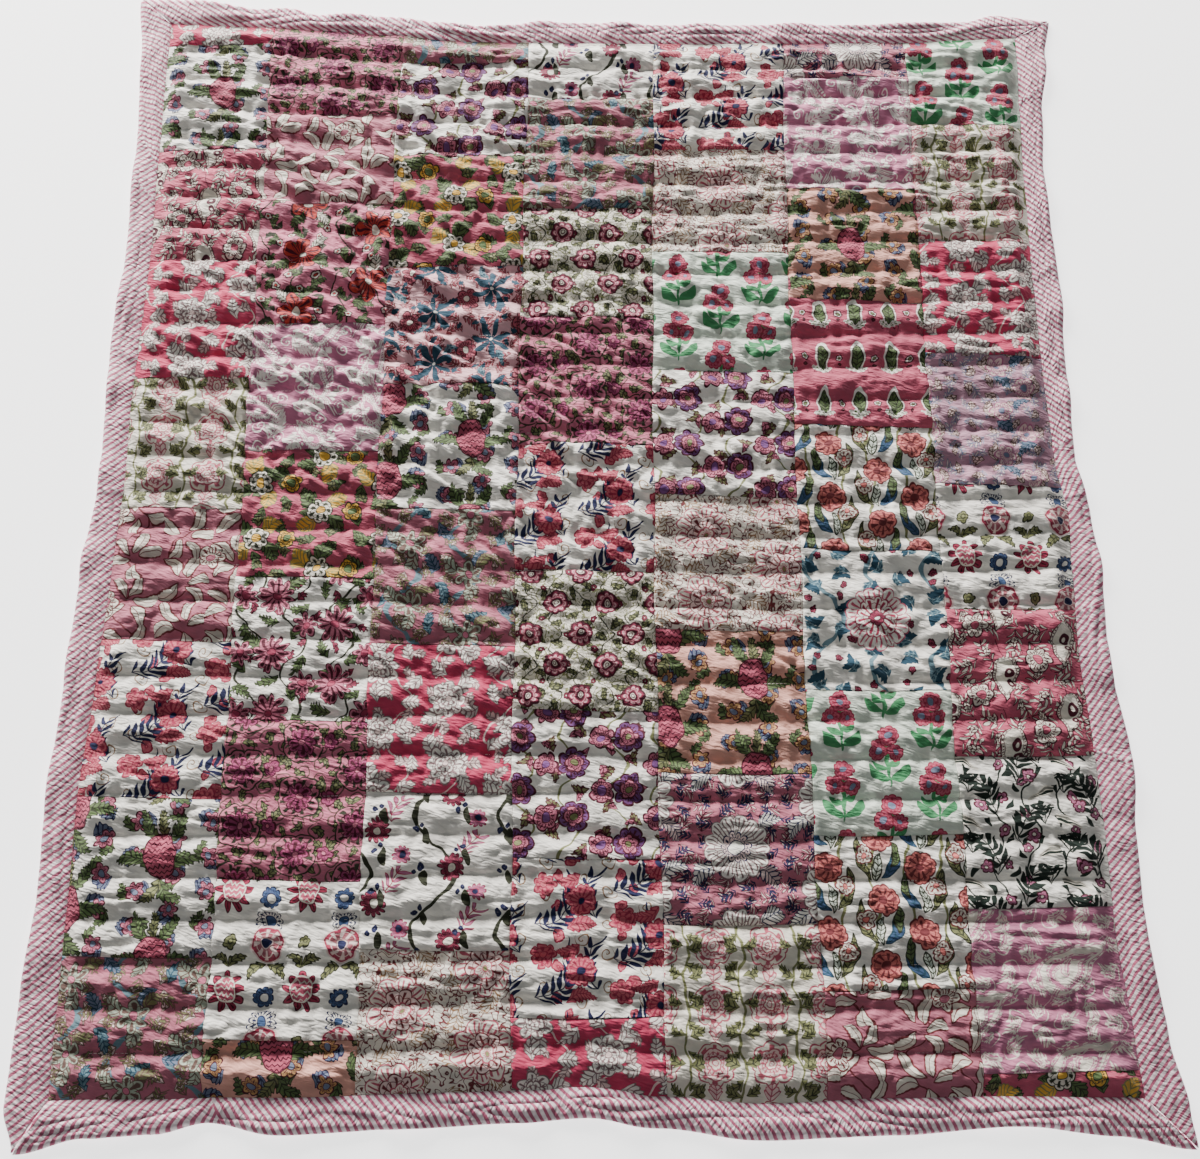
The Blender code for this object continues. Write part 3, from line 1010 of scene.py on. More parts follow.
# %% Bloom group: petals in two layers, outlines, rays and a heart
def bloom_group():
    nodes, get = new_group(
        "bloom",
        {"Place": PLACE, "Below": COLOUR, "Fill": COLOUR, "Line": COLOUR, "Heart": COLOUR,
         "Radius": 12.0, "Petals": 5.0, "Depth": 0.25, "Core": 0.28,
         "Rays": 3.0, "Point": 0.5, "Outline": 1.4},
        {"Colour": COLOUR},
    )
    radius, angle = round_place(nodes, get["Place"])
    phase = angle * get["Petals"] * 0.5
    lobe = abs(phase.cos()).math("POWER", get["Point"])
    edge = get["Radius"] * (1.0 - get["Depth"] * (1.0 - lobe))
    inside = edge - radius
    shade = (0.85 - radius / edge) * 0.5
    fill = nodes.blend(get["Fill"], get["Line"], shade)
    colour = nodes.blend(get["Below"], fill, inside.shown())
    outline = get["Outline"] * 0.5 - abs(inside - 0.3)
    inner_lobe = abs(phase.math("SINE")).math("POWER", get["Point"])
    inner_edge = get["Radius"] * 0.66 * (1.0 - get["Depth"] * (1.0 - inner_lobe))
    inner_line = nodes.smaller(0.36 - abs(inner_edge - radius), get["Radius"] - 9.0)
    rays = nodes.smaller((angle * get["Petals"] * get["Rays"]).cos() - 0.35, inside * 0.3 - 0.8)
    rays = nodes.smaller(rays, radius - get["Radius"] * get["Core"] * 1.25)
    lines = nodes.smaller(inner_line.math("MAXIMUM", rays), inside).math("MAXIMUM", outline)
    colour = nodes.blend(colour, get["Line"], lines.shown())
    core = get["Radius"] * get["Core"] - radius
    colour = nodes.blend(colour, get["Heart"], core.shown())
    colour = nodes.blend(colour, get["Line"], (0.4 - abs(core)).shown())
    end_group(nodes, Colour=colour)
    return nodes.tree


# %% Leaf group: pointed at both ends, bent and toothed, with a midrib, slanted veins and a darker half
def leaf_group():
    nodes, get = new_group(
        "leaf",
        {"Place": PLACE, "Below": COLOUR, "Fill": COLOUR, "Line": COLOUR,
         "Length": 20.0, "Width": 8.0, "Bend": 2.0,
         "Veins": 4.6, "Bare": 0.0, "Teeth": 0.6, "Outline": 1.3},
        {"Colour": COLOUR},
    )
    x, y = nodes.parts(get["Place"])
    t = x / get["Length"]
    span = t * (1.0 - t)
    arch = span.math("MAXIMUM", 0.0) * 4.0
    side = y - get["Bend"] * arch
    away = abs(side)
    wave = ((x - away * 0.9) * (2 * math.pi) / get["Veins"]).cos()
    half = get["Width"] * 0.5 * arch.math("POWER", 0.8) - wave * get["Teeth"]
    inside = nodes.smaller(half - away, span * 90.0)
    fill = nodes.blend(get["Fill"], get["Line"], side.shown() * 0.24)
    ribs = (0.35 - away).math("MAXIMUM", nodes.smaller(wave - 0.6 - get["Bare"], inside - 0.5))
    lines = nodes.smaller(ribs, inside).math("MAXIMUM", get["Outline"] * 0.5 - abs(inside - 0.2))
    colour = nodes.blend(get["Below"], fill, inside.shown())
    colour = nodes.blend(colour, get["Line"], lines.shown())
    end_group(nodes, Colour=colour)
    return nodes.tree


# %% Spray group: a bent stem with pairs of small outlined leaves
def spray_group():
    nodes, get = new_group(
        "spray",
        {"Place": PLACE, "Below": COLOUR, "Fill": COLOUR, "Line": COLOUR,
         "Length": 40.0, "Bend": 5.0, "Pitch": 6.0, "Leaf": 9.0, "Leaf width": 3.4},
        {"Colour": COLOUR},
    )
    x, y = nodes.parts(get["Place"])
    t = x / get["Length"]
    away = abs(y - get["Bend"] * t * (1.0 - t) * 4.0)
    lean = x - away * 0.9
    across = abs((lean / get["Pitch"]).cell() * get["Pitch"]) * 0.75
    out = away / get["Leaf"]
    inside = get["Leaf width"] * 2.0 * out * (1.0 - out) - across
    within = nodes.smaller(lean, get["Length"] - lean)
    inside = nodes.smaller(inside, within)
    colour = nodes.blend(get["Below"], get["Fill"], inside.shown())
    stem = nodes.smaller(0.55 - away, within)
    colour = nodes.blend(colour, get["Line"], stem.math("MAXIMUM", 0.34 - abs(inside)).shown())
    end_group(nodes, Colour=colour)
    return nodes.tree


# %% Paisley group: a curled teardrop with two outlines, beads between them, a frill and a heart
def paisley_group():
    nodes, get = new_group(
        "paisley",
        {"Place": PLACE, "Below": COLOUR, "Fill": COLOUR, "Line": COLOUR, "Heart": COLOUR,
         "Size": 30.0, "Curl": 0.4, "Frill": 2.5},
        {"Colour": COLOUR},
    )
    x, y = nodes.parts(get["Place"])
    t = (y / get["Size"] + 0.4).math("MAXIMUM", 0.0)
    x = x - get["Curl"] * get["Size"] * t * t
    drop = t.math("SQRT") * (1.0 - t) * get["Size"] * 0.8
    inside = drop - abs(x)
    ticks = (y.math("ARCTAN2", x) * 26.0).cos() - 0.1
    frill = nodes.smaller(ticks, nodes.smaller(inside + get["Frill"], 0.2 - inside))
    colour = nodes.blend(get["Below"], get["Line"], frill.shown())
    colour = nodes.blend(colour, get["Fill"], inside.shown())
    beads = nodes.smaller(ticks, 0.7 - abs(inside - 2.0))
    lines = (0.7 - abs(inside - 0.3)).math("MAXIMUM", 0.35 - abs(inside - 3.4)).math("MAXIMUM", beads)
    ring = nodes.vector("LENGTH", get["Place"]) + get["Size"] * -0.10
    colour = nodes.blend(colour, get["Heart"], (0.0 - ring).shown())
    colour = nodes.blend(colour, get["Line"], lines.math("MAXIMUM", 0.5 - abs(ring)).shown())
    end_group(nodes, Colour=colour)
    return nodes.tree


# %% Scroll, vine and cone groups
def scroll_group():
    nodes, get = new_group(
        "scroll",
        {"Place": PLACE, "Below": COLOUR, "Line": COLOUR, "Radius": 9.0, "Pitch": 5.0, "Width": 1.4},
        {"Colour": COLOUR},
    )
    radius, angle = round_place(nodes, get["Place"])
    turn = angle * (1.0 / (2 * math.pi)) + radius / get["Pitch"]
    line = get["Width"] * 0.5 - abs(turn.cell()) * get["Pitch"]
    colour = nodes.blend(get["Below"], get["Line"], nodes.smaller(line, get["Radius"] - radius).shown())
    end_group(nodes, Colour=colour)
    return nodes.tree


def vine_group():
    nodes, get = new_group(
        "vine",
        {"Place": PLACE, "Below": COLOUR, "Line": COLOUR,
         "Pitch": 50.0, "Sway": 8.0, "Wave": 60.0, "Width": 1.6},
        {"Colour": COLOUR},
    )
    x, y = nodes.parts(get["Place"])
    sway = (y * (2 * math.pi) / get["Wave"]).cos() * get["Sway"]
    away = abs(((x - sway) / get["Pitch"]).cell()) * get["Pitch"]
    colour = nodes.blend(get["Below"], get["Line"], (get["Width"] * 0.5 - away * 0.8).shown())
    end_group(nodes, Colour=colour)
    return nodes.tree


def cone_group():
    nodes, get = new_group(
        "cone",
        {"Place": PLACE, "Below": COLOUR, "Fill": COLOUR, "Line": COLOUR,
         "Length": 40.0, "Width": 26.0, "Scale": 5.0},
        {"Colour": COLOUR},
    )
    x, y = nodes.parts(get["Place"])
    width = x / (get["Width"] * 0.5)
    length = y / (get["Length"] * 0.5)
    reach = (width * width + length * length).math("SQRT")
    inside = (1.0 - reach) * get["Width"] * 0.5
    rows = abs(((y + abs((x / get["Scale"]).cell()) * get["Scale"]) / get["Scale"]).cell())
    lines = nodes.smaller(rows * get["Scale"] - get["Scale"] * 0.5 + 0.75, inside)
    colour = nodes.blend(get["Below"], get["Fill"], inside.shown())
    lines = lines.math("MAXIMUM", 0.5 - abs(inside - 0.3))
    colour = nodes.blend(colour, get["Line"], lines.shown())
    end_group(nodes, Colour=colour)
    return nodes.tree


# %% Tangle group: fine line work that runs between the motifs
def tangle_group():
    nodes, get = new_group(
        "tangle",
        {"Place": PLACE, "Below": COLOUR, "Line": COLOUR, "Size": 12.0, "Width": 0.03, "Seed": 0.0},
        {"Colour": COLOUR},
    )
    where = nodes.vector("ADD", get["Place"], get["Seed"])
    value, _ = nodes.flat_noise(where, get["Size"].math("POWER", -1.0), detail=1.0)
    line = get["Width"] - abs((value * 4.0).cell()) * 0.25
    colour = nodes.blend(get["Below"], get["Line"], line.shown(40.0))
    end_group(nodes, Colour=colour)
    return nodes.tree


# %% Build the motif groups once
GROUPS = {
    "repeat": repeat_group(), "bloom": bloom_group(), "leaf": leaf_group(), "spray": spray_group(),
    "paisley": paisley_group(), "scroll": scroll_group(), "vine": vine_group(), "cone": cone_group(),
    "tangle": tangle_group(),
}
print("motif groups:", ", ".join(f"{name} {len(tree.nodes)}" for name, tree in GROUPS.items()))

# %% [markdown]
# ### Hand of the cloth
#
# Block printing by hand is never exact: the block slips, the ink is thin in places, and the cloth
# is woven. One noise does two jobs, to keep the shader fast: it shifts the print by a millimetre
# or two, and it makes the ink lighter and darker. The weave and the finest creases go to a Bump
# node, because they are finer than the mesh. The creases are a noise that is turned and
# stretched, so that they run across the quilt like the wrinkles that they sit on.

# %% The weave and the fine creases
THREAD_PITCH = 0.75
WEAVE_DEPTH = 0.05
CREASE_SIZE = 7.0
CREASE_TURN = 16.0
CREASE_STRETCH = (0.5, 1.35, 0.0)
CREASE_DEPTH = 4.6


def cotton_group():
    """Height of the weave and of the small creases, from the place on the cloth in millimetres."""
    nodes, get = new_group("cotton_hand", {"Cloth": PLACE}, {"Height": 0.0})
    x, y = nodes.parts(get["Cloth"])
    threads = (x * (2 * math.pi / THREAD_PITCH)).cos() * (y * (2 * math.pi / THREAD_PITCH)).cos()
    turned = nodes.turned(get["Cloth"], math.radians(CREASE_TURN))
    stretched = nodes.vector("MULTIPLY", turned, CREASE_STRETCH)
    creases, _ = nodes.flat_noise(stretched, 1 / CREASE_SIZE, detail=1.0, roughness=0.7)
    end_group(nodes, Height=abs(creases - 0.5) * CREASE_DEPTH + threads * WEAVE_DEPTH)
    return nodes.tree


GROUPS["cotton"] = cotton_group()
print("cotton group:", len(GROUPS["cotton"].nodes), "nodes")


# %% The printed cotton
COTTON_ROUGHNESS = 0.82
COTTON_SHEEN = 0.12
SLIP = 5.0
SLIP_SIZE = 12.0
INK_CHANGE = 0.16
COTTON_GLOSS = 0.25
BUMP_HEIGHT = 0.0010


class Cotton:
    """One printed cotton. Each motif prints over what is there already."""

    def __init__(self, name, ground):
        self.material = bpy.data.materials.new(name)
        self.material.use_nodes = True
        self.nodes = Nodes(self.material.node_tree)
        self.shader = self.material.node_tree.nodes["Principled BSDF"]
        cloth_map = self.nodes.add("ShaderNodeUVMap", uv_map="cloth")
        in_metres = Wire(self.nodes, cloth_map.outputs[0])
        in_mm = self.nodes.vector("MULTIPLY", in_metres, (1000.0, 1000.0, 1000.0))
        self.ink_amount, hand = self.nodes.flat_noise(in_mm, 1 / SLIP_SIZE, detail=0.0)
        slip = self.nodes.vector("MULTIPLY", hand, (SLIP, SLIP, 0.0))
        self.flat = in_mm
        self.cloth = self.nodes.vector("ADD", in_mm, slip)
        self.block = self.cloth
        self.colour = ink(ground)

    def group(self, name, inputs):
        node = self.nodes.add("ShaderNodeGroup", node_tree=GROUPS[name])
        for label, value in inputs.items():
            self.nodes.join(value, node.inputs[label])
        return Wire(self.nodes, node.outputs[0])

    def repeat(self, width, height, drop=0.5, at=(0, 0), flip=0.0, spin=0.0):
        """Sets the block that the next motifs are printed in, in millimetres."""
        self.block = self.group("repeat", {
            "Cloth": self.cloth, "At": (*at, 0.0), "Width": float(width), "Height": float(height),
            "Drop": drop, "Flip": flip, "Spin": spin,
        })

    def motif(self, kind, at, turn, inks, **sizes):
        """Prints one motif. Its inks are those of the fill, the line and the heart, as it has them."""
        place = self.block
        if at != (0, 0):
            place = self.nodes.vector("SUBTRACT", place, (*at, 0.0))
        if turn:
            place = self.nodes.turned(place, math.radians(-turn))
        inputs = {"Place": place, "Below": self.colour}
        inked = [label for label in ("Fill", "Line", "Heart") if label in GROUPS[kind].interface.items_tree]
        inputs.update({label: ink(name) for label, name in zip(inked, inks)})
        for label, value in sizes.items():
            inputs[label.replace("_", " ").capitalize()] = float(value)
        self.colour = self.group(kind, inputs)

    def leaf(self, at, turn, inks, length, width, bend, **more):
        self.motif("leaf", at, turn, inks, length=length, width=width, bend=bend, **more)

    def bloom(self, at, turn, inks, radius, petals, depth, core, **more):
        self.motif("bloom", at, turn, inks, radius=radius, petals=petals, depth=depth, core=core, **more)

    def spray(self, at, turn, inks, length, bend, pitch, leaf, leaf_width):
        sizes = {"length": length, "bend": bend, "pitch": pitch, "leaf": leaf, "leaf_width": leaf_width}
        self.motif("spray", at, turn, inks, **sizes)

    def paisley(self, at, turn, inks, size, curl, frill):
        self.motif("paisley", at, turn, inks, size=size, curl=curl, frill=frill)

    def cone(self, at, turn, inks, length, width, scale):
        self.motif("cone", at, turn, inks, length=length, width=width, scale=scale)

    def scroll(self, at, line, radius, pitch, width):
        self.motif("scroll", at, 0, [line], radius=radius, pitch=pitch, width=width)

    def vine(self, line, pitch, sway, wave, width):
        self.motif("vine", (0, 0), 0, [line], pitch=pitch, sway=sway, wave=wave, width=width)

    def tangle(self, line, size, width, seed):
        self.motif("tangle", (0, 0), 0, [line], size=size, width=width, seed=seed)

    def finish(self, bump=0.55):
        """Joins the print to the shader: thinner and thicker ink, the weave, and a dry cotton hand."""
        shade = self.ink_amount.math("MULTIPLY_ADD", INK_CHANGE * 2, 1.0 - INK_CHANGE * 1.4)
        faded = self.nodes.blend((0.0, 0.0, 0.0, 1.0), self.colour, shade)
        self.nodes.join(faded, self.shader.inputs["Base Color"])
        height = self.group("cotton", {"Cloth": self.flat})
        inputs = {"Height": height, "Strength": bump, "Distance": BUMP_HEIGHT}
        bump_node = self.nodes.add("ShaderNodeBump", inputs)
        self.nodes.join(Wire(self.nodes, bump_node.outputs[0]), self.shader.inputs["Normal"])
        self.shader.inputs["Roughness"].default_value = COTTON_ROUGHNESS
        self.shader.inputs["Sheen Weight"].default_value = COTTON_SHEEN
        self.shader.inputs["Specular IOR Level"].default_value = COTTON_GLOSS
        return self.material


# %% [markdown]
# ## The printed cottons
#
# Each cotton has its own short function, which reads like the printer's order of work: the block
# size, then each motif with its place in the block, its turn in degrees, its inks and its sizes.
# A leaf or a spray grows from its place in the direction of its turn. These are the ordinary
# flowers, leaves and paisleys of hand-block cotton. One cotton in coral and navy is a plain
# design of its own here: round rosettes, leaves and leafy sprigs.

# %% White grounds with red and pink flowers
def mint_booti(cotton):
    cotton.repeat(44, 66)
    cotton.leaf((1, -25), 40, ("green", "green"), 23, 9, -3, bare=1, teeth=0)
    cotton.leaf((-1, -25), 140, ("green", "green"), 23, 9, 3, bare=1, teeth=0)
    cotton.leaf((0, -10), 28, ("green", "green"), 15, 6, -2, bare=1, teeth=0)
    cotton.leaf((0, -14), 152, ("green", "green"), 16, 6, 2, bare=1, teeth=0)
    cotton.leaf((0, -30), 90, ("green", "green"), 50, 3, 0, bare=1, teeth=0)
    cotton.bloom((-8, 4), 10, ("rose", "crimson", "blue_grey"), 9, 9, 0.2, 0.36, rays=1)
    cotton.bloom((8, 2), 30, ("rose", "crimson", "blue_grey"), 8, 9, 0.2, 0.36, rays=1)
    cotton.bloom((1, 18), 0, ("rose", "crimson", "blue_grey"), 10, 9, 0.2, 0.36, rays=1)


def purple_floral(cotton):
    cotton.vine("olive", 44, 11, 58, 2.2)
    cotton.repeat(26, 28, at=(10, 6), spin=0.9)
    cotton.leaf((-8, 3), -30, ("olive", "maroon"), 17, 8, 3)
    cotton.leaf((8, 10), 205, ("pink", "maroon"), 13, 6, 2)
    cotton.repeat(52, 50, at=(4, 2), spin=0.7)
    cotton.bloom((0, 0), 0, ("purple", "maroon", "olive"), 15, 7, 0.26, 0.3, outline=1.8)
    cotton.bloom((0, 0), 26, ("pink", "maroon", "olive"), 9.5, 5, 0.3, 0.36)
    cotton.repeat(52, 50, at=(30, 26), spin=1.1)
    cotton.bloom((0, 0), 24, ("pink", "maroon", "purple"), 12, 6, 0.28, 0.34, outline=1.8)


def coral_navy(cotton):
    cotton.repeat(29, 27, at=(14, 22), flip=1.0)
    cotton.scroll((3, 4), "ochre_brown", 7, 4.6, 1.1)
    cotton.bloom((-9, -7), 0, ("coral", "crimson", "coral"), 5, 5, 0.2, 0.2)
    cotton.repeat(72, 62, at=(2, 4))
    cotton.spray((-30, -20), 38, ("navy", "navy"), 46, -10, 7.4, 12, 3.6)
    cotton.spray((28, -14), 96, ("navy", "navy"), 38, 7, 7.4, 9, 3.4)
    cotton.leaf((0, -24), 6, ("coral", "crimson"), 28, 12, 4, veins=3.8)
    cotton.leaf((12, 26), 200, ("coral", "crimson"), 24, 11, 4, veins=3.8)
    cotton.bloom((13, 2), 0, ("coral", "crimson", "navy"), 14, 11, 0.2, 0.24, rays=1)
    cotton.bloom((-21, 15), 0, ("coral", "crimson", "coral"), 11.5, 7, 0.3, 0.3, rays=1)


def crimson_vine(cotton):
    cotton.vine("dark_olive", 78, 20, 104, 3.4)
    cotton.repeat(70, 66, at=(16, 6))
    cotton.spray((12, 8), 60, ("mauve", "crimson"), 24, 3, 7, 9, 3)
    cotton.bloom((0, 0), 0, ("wine", "maroon", "cream"), 12, 12, 0.4, 0.34)
    cotton.bloom((24, -22), 0, ("mauve", "wine", "navy"), 8.5, 10, 0.4, 0.4)
    cotton.repeat(39, 37, at=(26, 18))
    cotton.bloom((-5, 3), 0, ("navy", "navy", "white"), 2.4, 4, 0.2, 0.2)
    cotton.bloom((1, 7), 0, ("navy", "navy", "white"), 2.4, 4, 0.2, 0.2)
    cotton.leaf((6, -10), 100, ("dark_olive", "dark_olive"), 15, 7, 1, teeth=0)


def pomegranate(cotton):
    cotton.repeat(67, 86, drop=0.0)
    cotton.leaf((-16, -2), -38, ("olive", "dark_olive"), 21, 8, 4)
    cotton.leaf((-16, -2), 218, ("olive", "dark_olive"), 21, 8, -4)
    cotton.bloom((-16, 35), 0, ("white", "navy", "blue"), 12, 15, 0.36, 0.36, rays=1)
    cotton.bloom((-16, 16), 0, ("crimson", "pale_pink", "navy"), 16, 8, 0.05, 0.3, rays=1)
    cotton.leaf((17, -4), 30, ("olive", "dark_olive"), 17, 8, 4)
    cotton.leaf((17, -4), 150, ("olive", "dark_olive"), 17, 8, -4)
    cotton.bloom((17, -25), 90, ("crimson", "maroon", "rose"), 18, 9, 0.5, 0.3, point=1.0)
    cotton.cone((17, -23), 0, ("rose", "cream"), 22, 19, 5)
    cotton.bloom((17, 18), 0, ("olive", "dark_olive", "olive"), 6, 5, 0.3, 0.3)
    cotton.bloom((-16, -30), 0, ("blue", "navy", "white"), 9, 9, 0.3, 0.4)


def dahlia(cotton):
    cotton.vine("teal", 58, 17, 100, 4.2)
    cotton.repeat(31, 29, at=(22, 14), spin=0.9)
    cotton.leaf((-9, 6), -40, ("dark_teal", "dark_teal"), 20, 8, 4)
    cotton.leaf((9, -3), 125, ("dark_teal", "teal"), 16, 6, -4)
    cotton.bloom((-6, -7), 0, ("wine", "maroon", "wine"), 3.8, 5, 0.3, 0.3)
    cotton.repeat(116, 104, at=(-8, 0))
    cotton.bloom((0, 0), 0, ("white", "rose", "crimson"), 32, 17, 0.14, 0.16, rays=2)
    cotton.bloom((0, 0), 9, ("white", "crimson", "crimson"), 21, 14, 0.24, 0.2, rays=1)
    cotton.bloom((0, 0), 0, ("wine", "maroon", "white"), 8, 8, 0.3, 0.3)


def coral_tulip(cotton):
    cotton.vine("olive", 32, 3, 70, 2.2)
    cotton.repeat(43, 58, at=(4, 0), flip=1.0)
    cotton.leaf((3, -26), 66, ("blue", "dark_teal"), 34, 10, -6, teeth=0)
    cotton.leaf((-4, -26), 108, ("olive", "dark_olive"), 40, 10, 6, teeth=0)
    cotton.leaf((0, -28), 84, ("mint", "dark_olive"), 26, 8, 2, teeth=0)
    cotton.leaf((13, -16), 82, ("leaf", "dark_olive"), 24, 8, -3, teeth=0)
    cotton.bloom((3, 13), 0, ("soft_coral", "brown_red", "brown_red"), 14.5, 9, 0.14, 0.24, rays=1)
    cotton.bloom((-12, -4), 0, ("cream", "brown_red", "soft_coral"), 9, 8, 0.2, 0.3, rays=1)


def carnation(cotton):
    cotton.vine("dark_olive", 44, 12, 62, 2.0)
    cotton.repeat(27, 29, at=(4, 10), spin=0.9)
    cotton.leaf((-8, -6), 40, ("leaf", "dark_olive"), 22, 9, 3, teeth=1.2)
    cotton.leaf((6, -3), 230, ("wine", "maroon"), 12, 6, 2, teeth=0.8)
    cotton.repeat(60, 58, at=(-20, -10), spin=0.5)
    cotton.leaf((-9, 8), 140, ("leaf", "dark_olive"), 20, 11, 4, teeth=1.4)
    cotton.bloom((0, 0), 0, ("pink", "maroon", "wine"), 19, 11, 0.42, 0.2, rays=1, point=0.8)
    cotton.repeat(60, 58, at=(10, 19), spin=0.9)
    cotton.bloom((0, 0), 0, ("pink", "maroon", "wine"), 13, 7, 0.5, 0.3, rays=1, point=0.9)


def dark_leaves(cotton):
    cotton.vine("dark_green", 34, 8, 62, 1.6)
    cotton.repeat(34, 31, at=(0, 15), flip=1.0)
    cotton.leaf((7, 7), 58, ("dark_green", "dark_green"), 15, 4.4, 2, teeth=0, bare=1)
    cotton.leaf((-9, -8), 128, ("dark_green", "dark_green"), 13, 4, 2, teeth=0, bare=1)
    cotton.bloom((-7, 3), 0, ("mauve", "maroon", "cream"), 5.6, 5, 0.32, 0.3)
    cotton.repeat(47, 56, flip=1.0)
    cotton.spray((-11, -10), 62, ("dark_green", "dark_green"), 42, 7, 7.2, 12, 4.0)
    cotton.spray((12, 10), 112, ("dark_green", "dark_green"), 36, -6, 7.2, 11, 3.8)
    cotton.leaf((0, -24), 6, ("dark_green", "cream"), 40, 7, 7, teeth=0, bare=1)
    cotton.bloom((1, -2), 0, ("mauve", "maroon", "cream"), 6.6, 5, 0.34, 0.3)


# %% White and salmon pineapple cloth, toile, trellis and rosettes
def pineapple(cotton, accent):
    cotton.repeat(33, 31, at=(12, 16), spin=0.8)
    cotton.leaf((7, -9), 158, ("blue_grey", "navy"), 19, 10, 3, teeth=0.8)
    cotton.leaf((-7, 4), 20, ("leaf", "dark_olive"), 19, 9, 3, teeth=1.0)
    cotton.bloom((0, 0), 0, (accent, "maroon", "blue_grey"), 9, 6, 0.4, 0.34, point=0.8)
    cotton.repeat(84, 90, at=(0, 0))
    cotton.leaf((0, -18), 20, ("leaf", "dark_olive"), 43, 14, 9, veins=5, teeth=1.0)
    cotton.leaf((0, -18), 160, ("leaf", "dark_olive"), 43, 14, -9, veins=5, teeth=1.0)
    cotton.leaf((0, -20), -44, ("leaf", "dark_olive"), 30, 12, -4, veins=5, teeth=1.0)
    cotton.leaf((0, -20), 232, ("olive", "dark_olive"), 28, 11, 4, veins=5, teeth=1.0)
    cotton.leaf((2, 14), 56, ("leaf", "dark_olive"), 30, 11, -4, teeth=0.8)
    cotton.leaf((-2, 14), 122, ("leaf", "dark_olive"), 33, 11, 4, teeth=0.8)
    cotton.leaf((0, 14), 90, ("olive", "dark_olive"), 29, 9, 0, teeth=0.8)
    cotton.cone((0, 0), 6, ("rose", "maroon"), 42, 29, 5)


def white_pineapple(cotton):
    pineapple(cotton, "pink")


def salmon_pineapple(cotton):
    pineapple(cotton, "ochre")


def toile(cotton):
    cotton.tangle("brown_red", 9.0, 0.030, 3.0)
    cotton.repeat(31, 33, at=(14, 12), spin=1.0)
    cotton.leaf((-12, -8), 36, ("ivory", "brown_red"), 29, 14, 5, veins=4.4, teeth=1.2, outline=1.6)
    cotton.leaf((12, -2), 160, ("ivory", "ochre_brown"), 26, 12, 4, veins=4.4, teeth=1.2, outline=1.6)
    cotton.repeat(76, 74, at=(-6, 4), spin=0.35)
    cotton.bloom((0, 0), 0, ("ivory", "dull_rose", "ivory"), 28, 9, 0.24, 0.4, rays=3)
    cotton.bloom((2, -2), 24, ("pale_pink", "brown_red", "pale_pink"), 18, 7, 0.3, 0.3, rays=2)
    cotton.bloom((3, -3), 10, ("ivory", "dull_rose", "olive"), 8, 5, 0.3, 0.3)


def trellis(cotton):
    cotton.vine("olive", 50, 3, 50, 1.8)
    cotton.repeat(50, 50, drop=0.0, at=(25, 0))
    cotton.bloom((0, 6), 0, ("cream", "dull_rose", "cream"), 19, 8, 0.14, 0.3, rays=1)
    cotton.bloom((0, 6), 22, ("pale_pink", "dull_rose", "cream"), 13, 7, 0.16, 0.4, rays=2)
    cotton.bloom((0, 6), 8, ("cream", "dull_rose", "pale_pink"), 6, 6, 0.2, 0.4)
    cotton.leaf((0, -25), 90, ("pale_pink", "dull_rose"), 16, 11, 0)
    cotton.repeat(50, 25, drop=0.0, at=(0, 12), flip=1.0)
    cotton.leaf((-1, -8), 146, ("olive", "dark_olive"), 17, 9, 4, teeth=1.0, outline=0.5)
    cotton.leaf((1, -6), 34, ("olive", "dark_olive"), 16, 8, -4, teeth=1.0, outline=0.5)
    cotton.leaf((-1, 6), 206, ("olive", "dark_olive"), 14, 7, 3, teeth=1.0, outline=0.5)


def rosette_scroll(cotton):
    cotton.tangle("olive", 7.0, 0.026, 6.0)
    cotton.vine("dark_olive", 25, 7, 31, 1.2)
    cotton.repeat(15, 20, at=(6, 9), spin=1.3)
    cotton.scroll((1, 0), "olive", 7, 4.4, 1.0)
    cotton.leaf((-7, -3), 24, ("olive", "dark_olive"), 14, 5, 2)
    cotton.leaf((5, 5), 200, ("olive", "dark_olive"), 12, 5, 2)
    cotton.repeat(25, 31, at=(12, 15))
    cotton.bloom((0, 0), 0, ("crimson", "maroon", "cream"), 3, 5, 0.3, 0.3)
    cotton.repeat(25, 62)
    cotton.bloom((0, 0), 0, ("maroon", "maroon", "maroon"), 11.8, 8, 0.10, 0.3, rays=0)
    cotton.bloom((0, 0), 0, ("light_pink", "wine", "maroon"), 10.2, 8, 0.5, 0.5, rays=0)
    cotton.bloom((0, 0), 0, ("cream", "maroon", "cream"), 3.8, 4, 0.1, 0.4)


# %% Pink grounds
def plum_medallion(cotton):
    cotton.repeat(17, 16, at=(3, 8), spin=1.2)
    cotton.scroll((0, 0), "brown", 7.5, 5, 1.5)
    cotton.leaf((-5, -3), 40, ("olive", "dark_olive"), 14, 6, 2)
    cotton.repeat(54, 52, at=(2, 0))
    cotton.bloom((0, 0), 45, ("pink", "dark_olive", "pink"), 21, 4, 0.26, 0.2)
    cotton.bloom((0, 0), 0, ("berry", "maroon", "pink"), 13.5, 8, 0.46, 0.22, rays=1)
    cotton.repeat(54, 52, at=(29, 0))
    cotton.leaf((3, 3), 45, ("olive", "dark_olive"), 13, 7, 2)
    cotton.leaf((-3, 3), 135, ("olive", "dark_olive"), 13, 7, -2)
    cotton.bloom((0, 0), 0, ("berry", "maroon", "pink"), 8, 5, 0.4, 0.3)


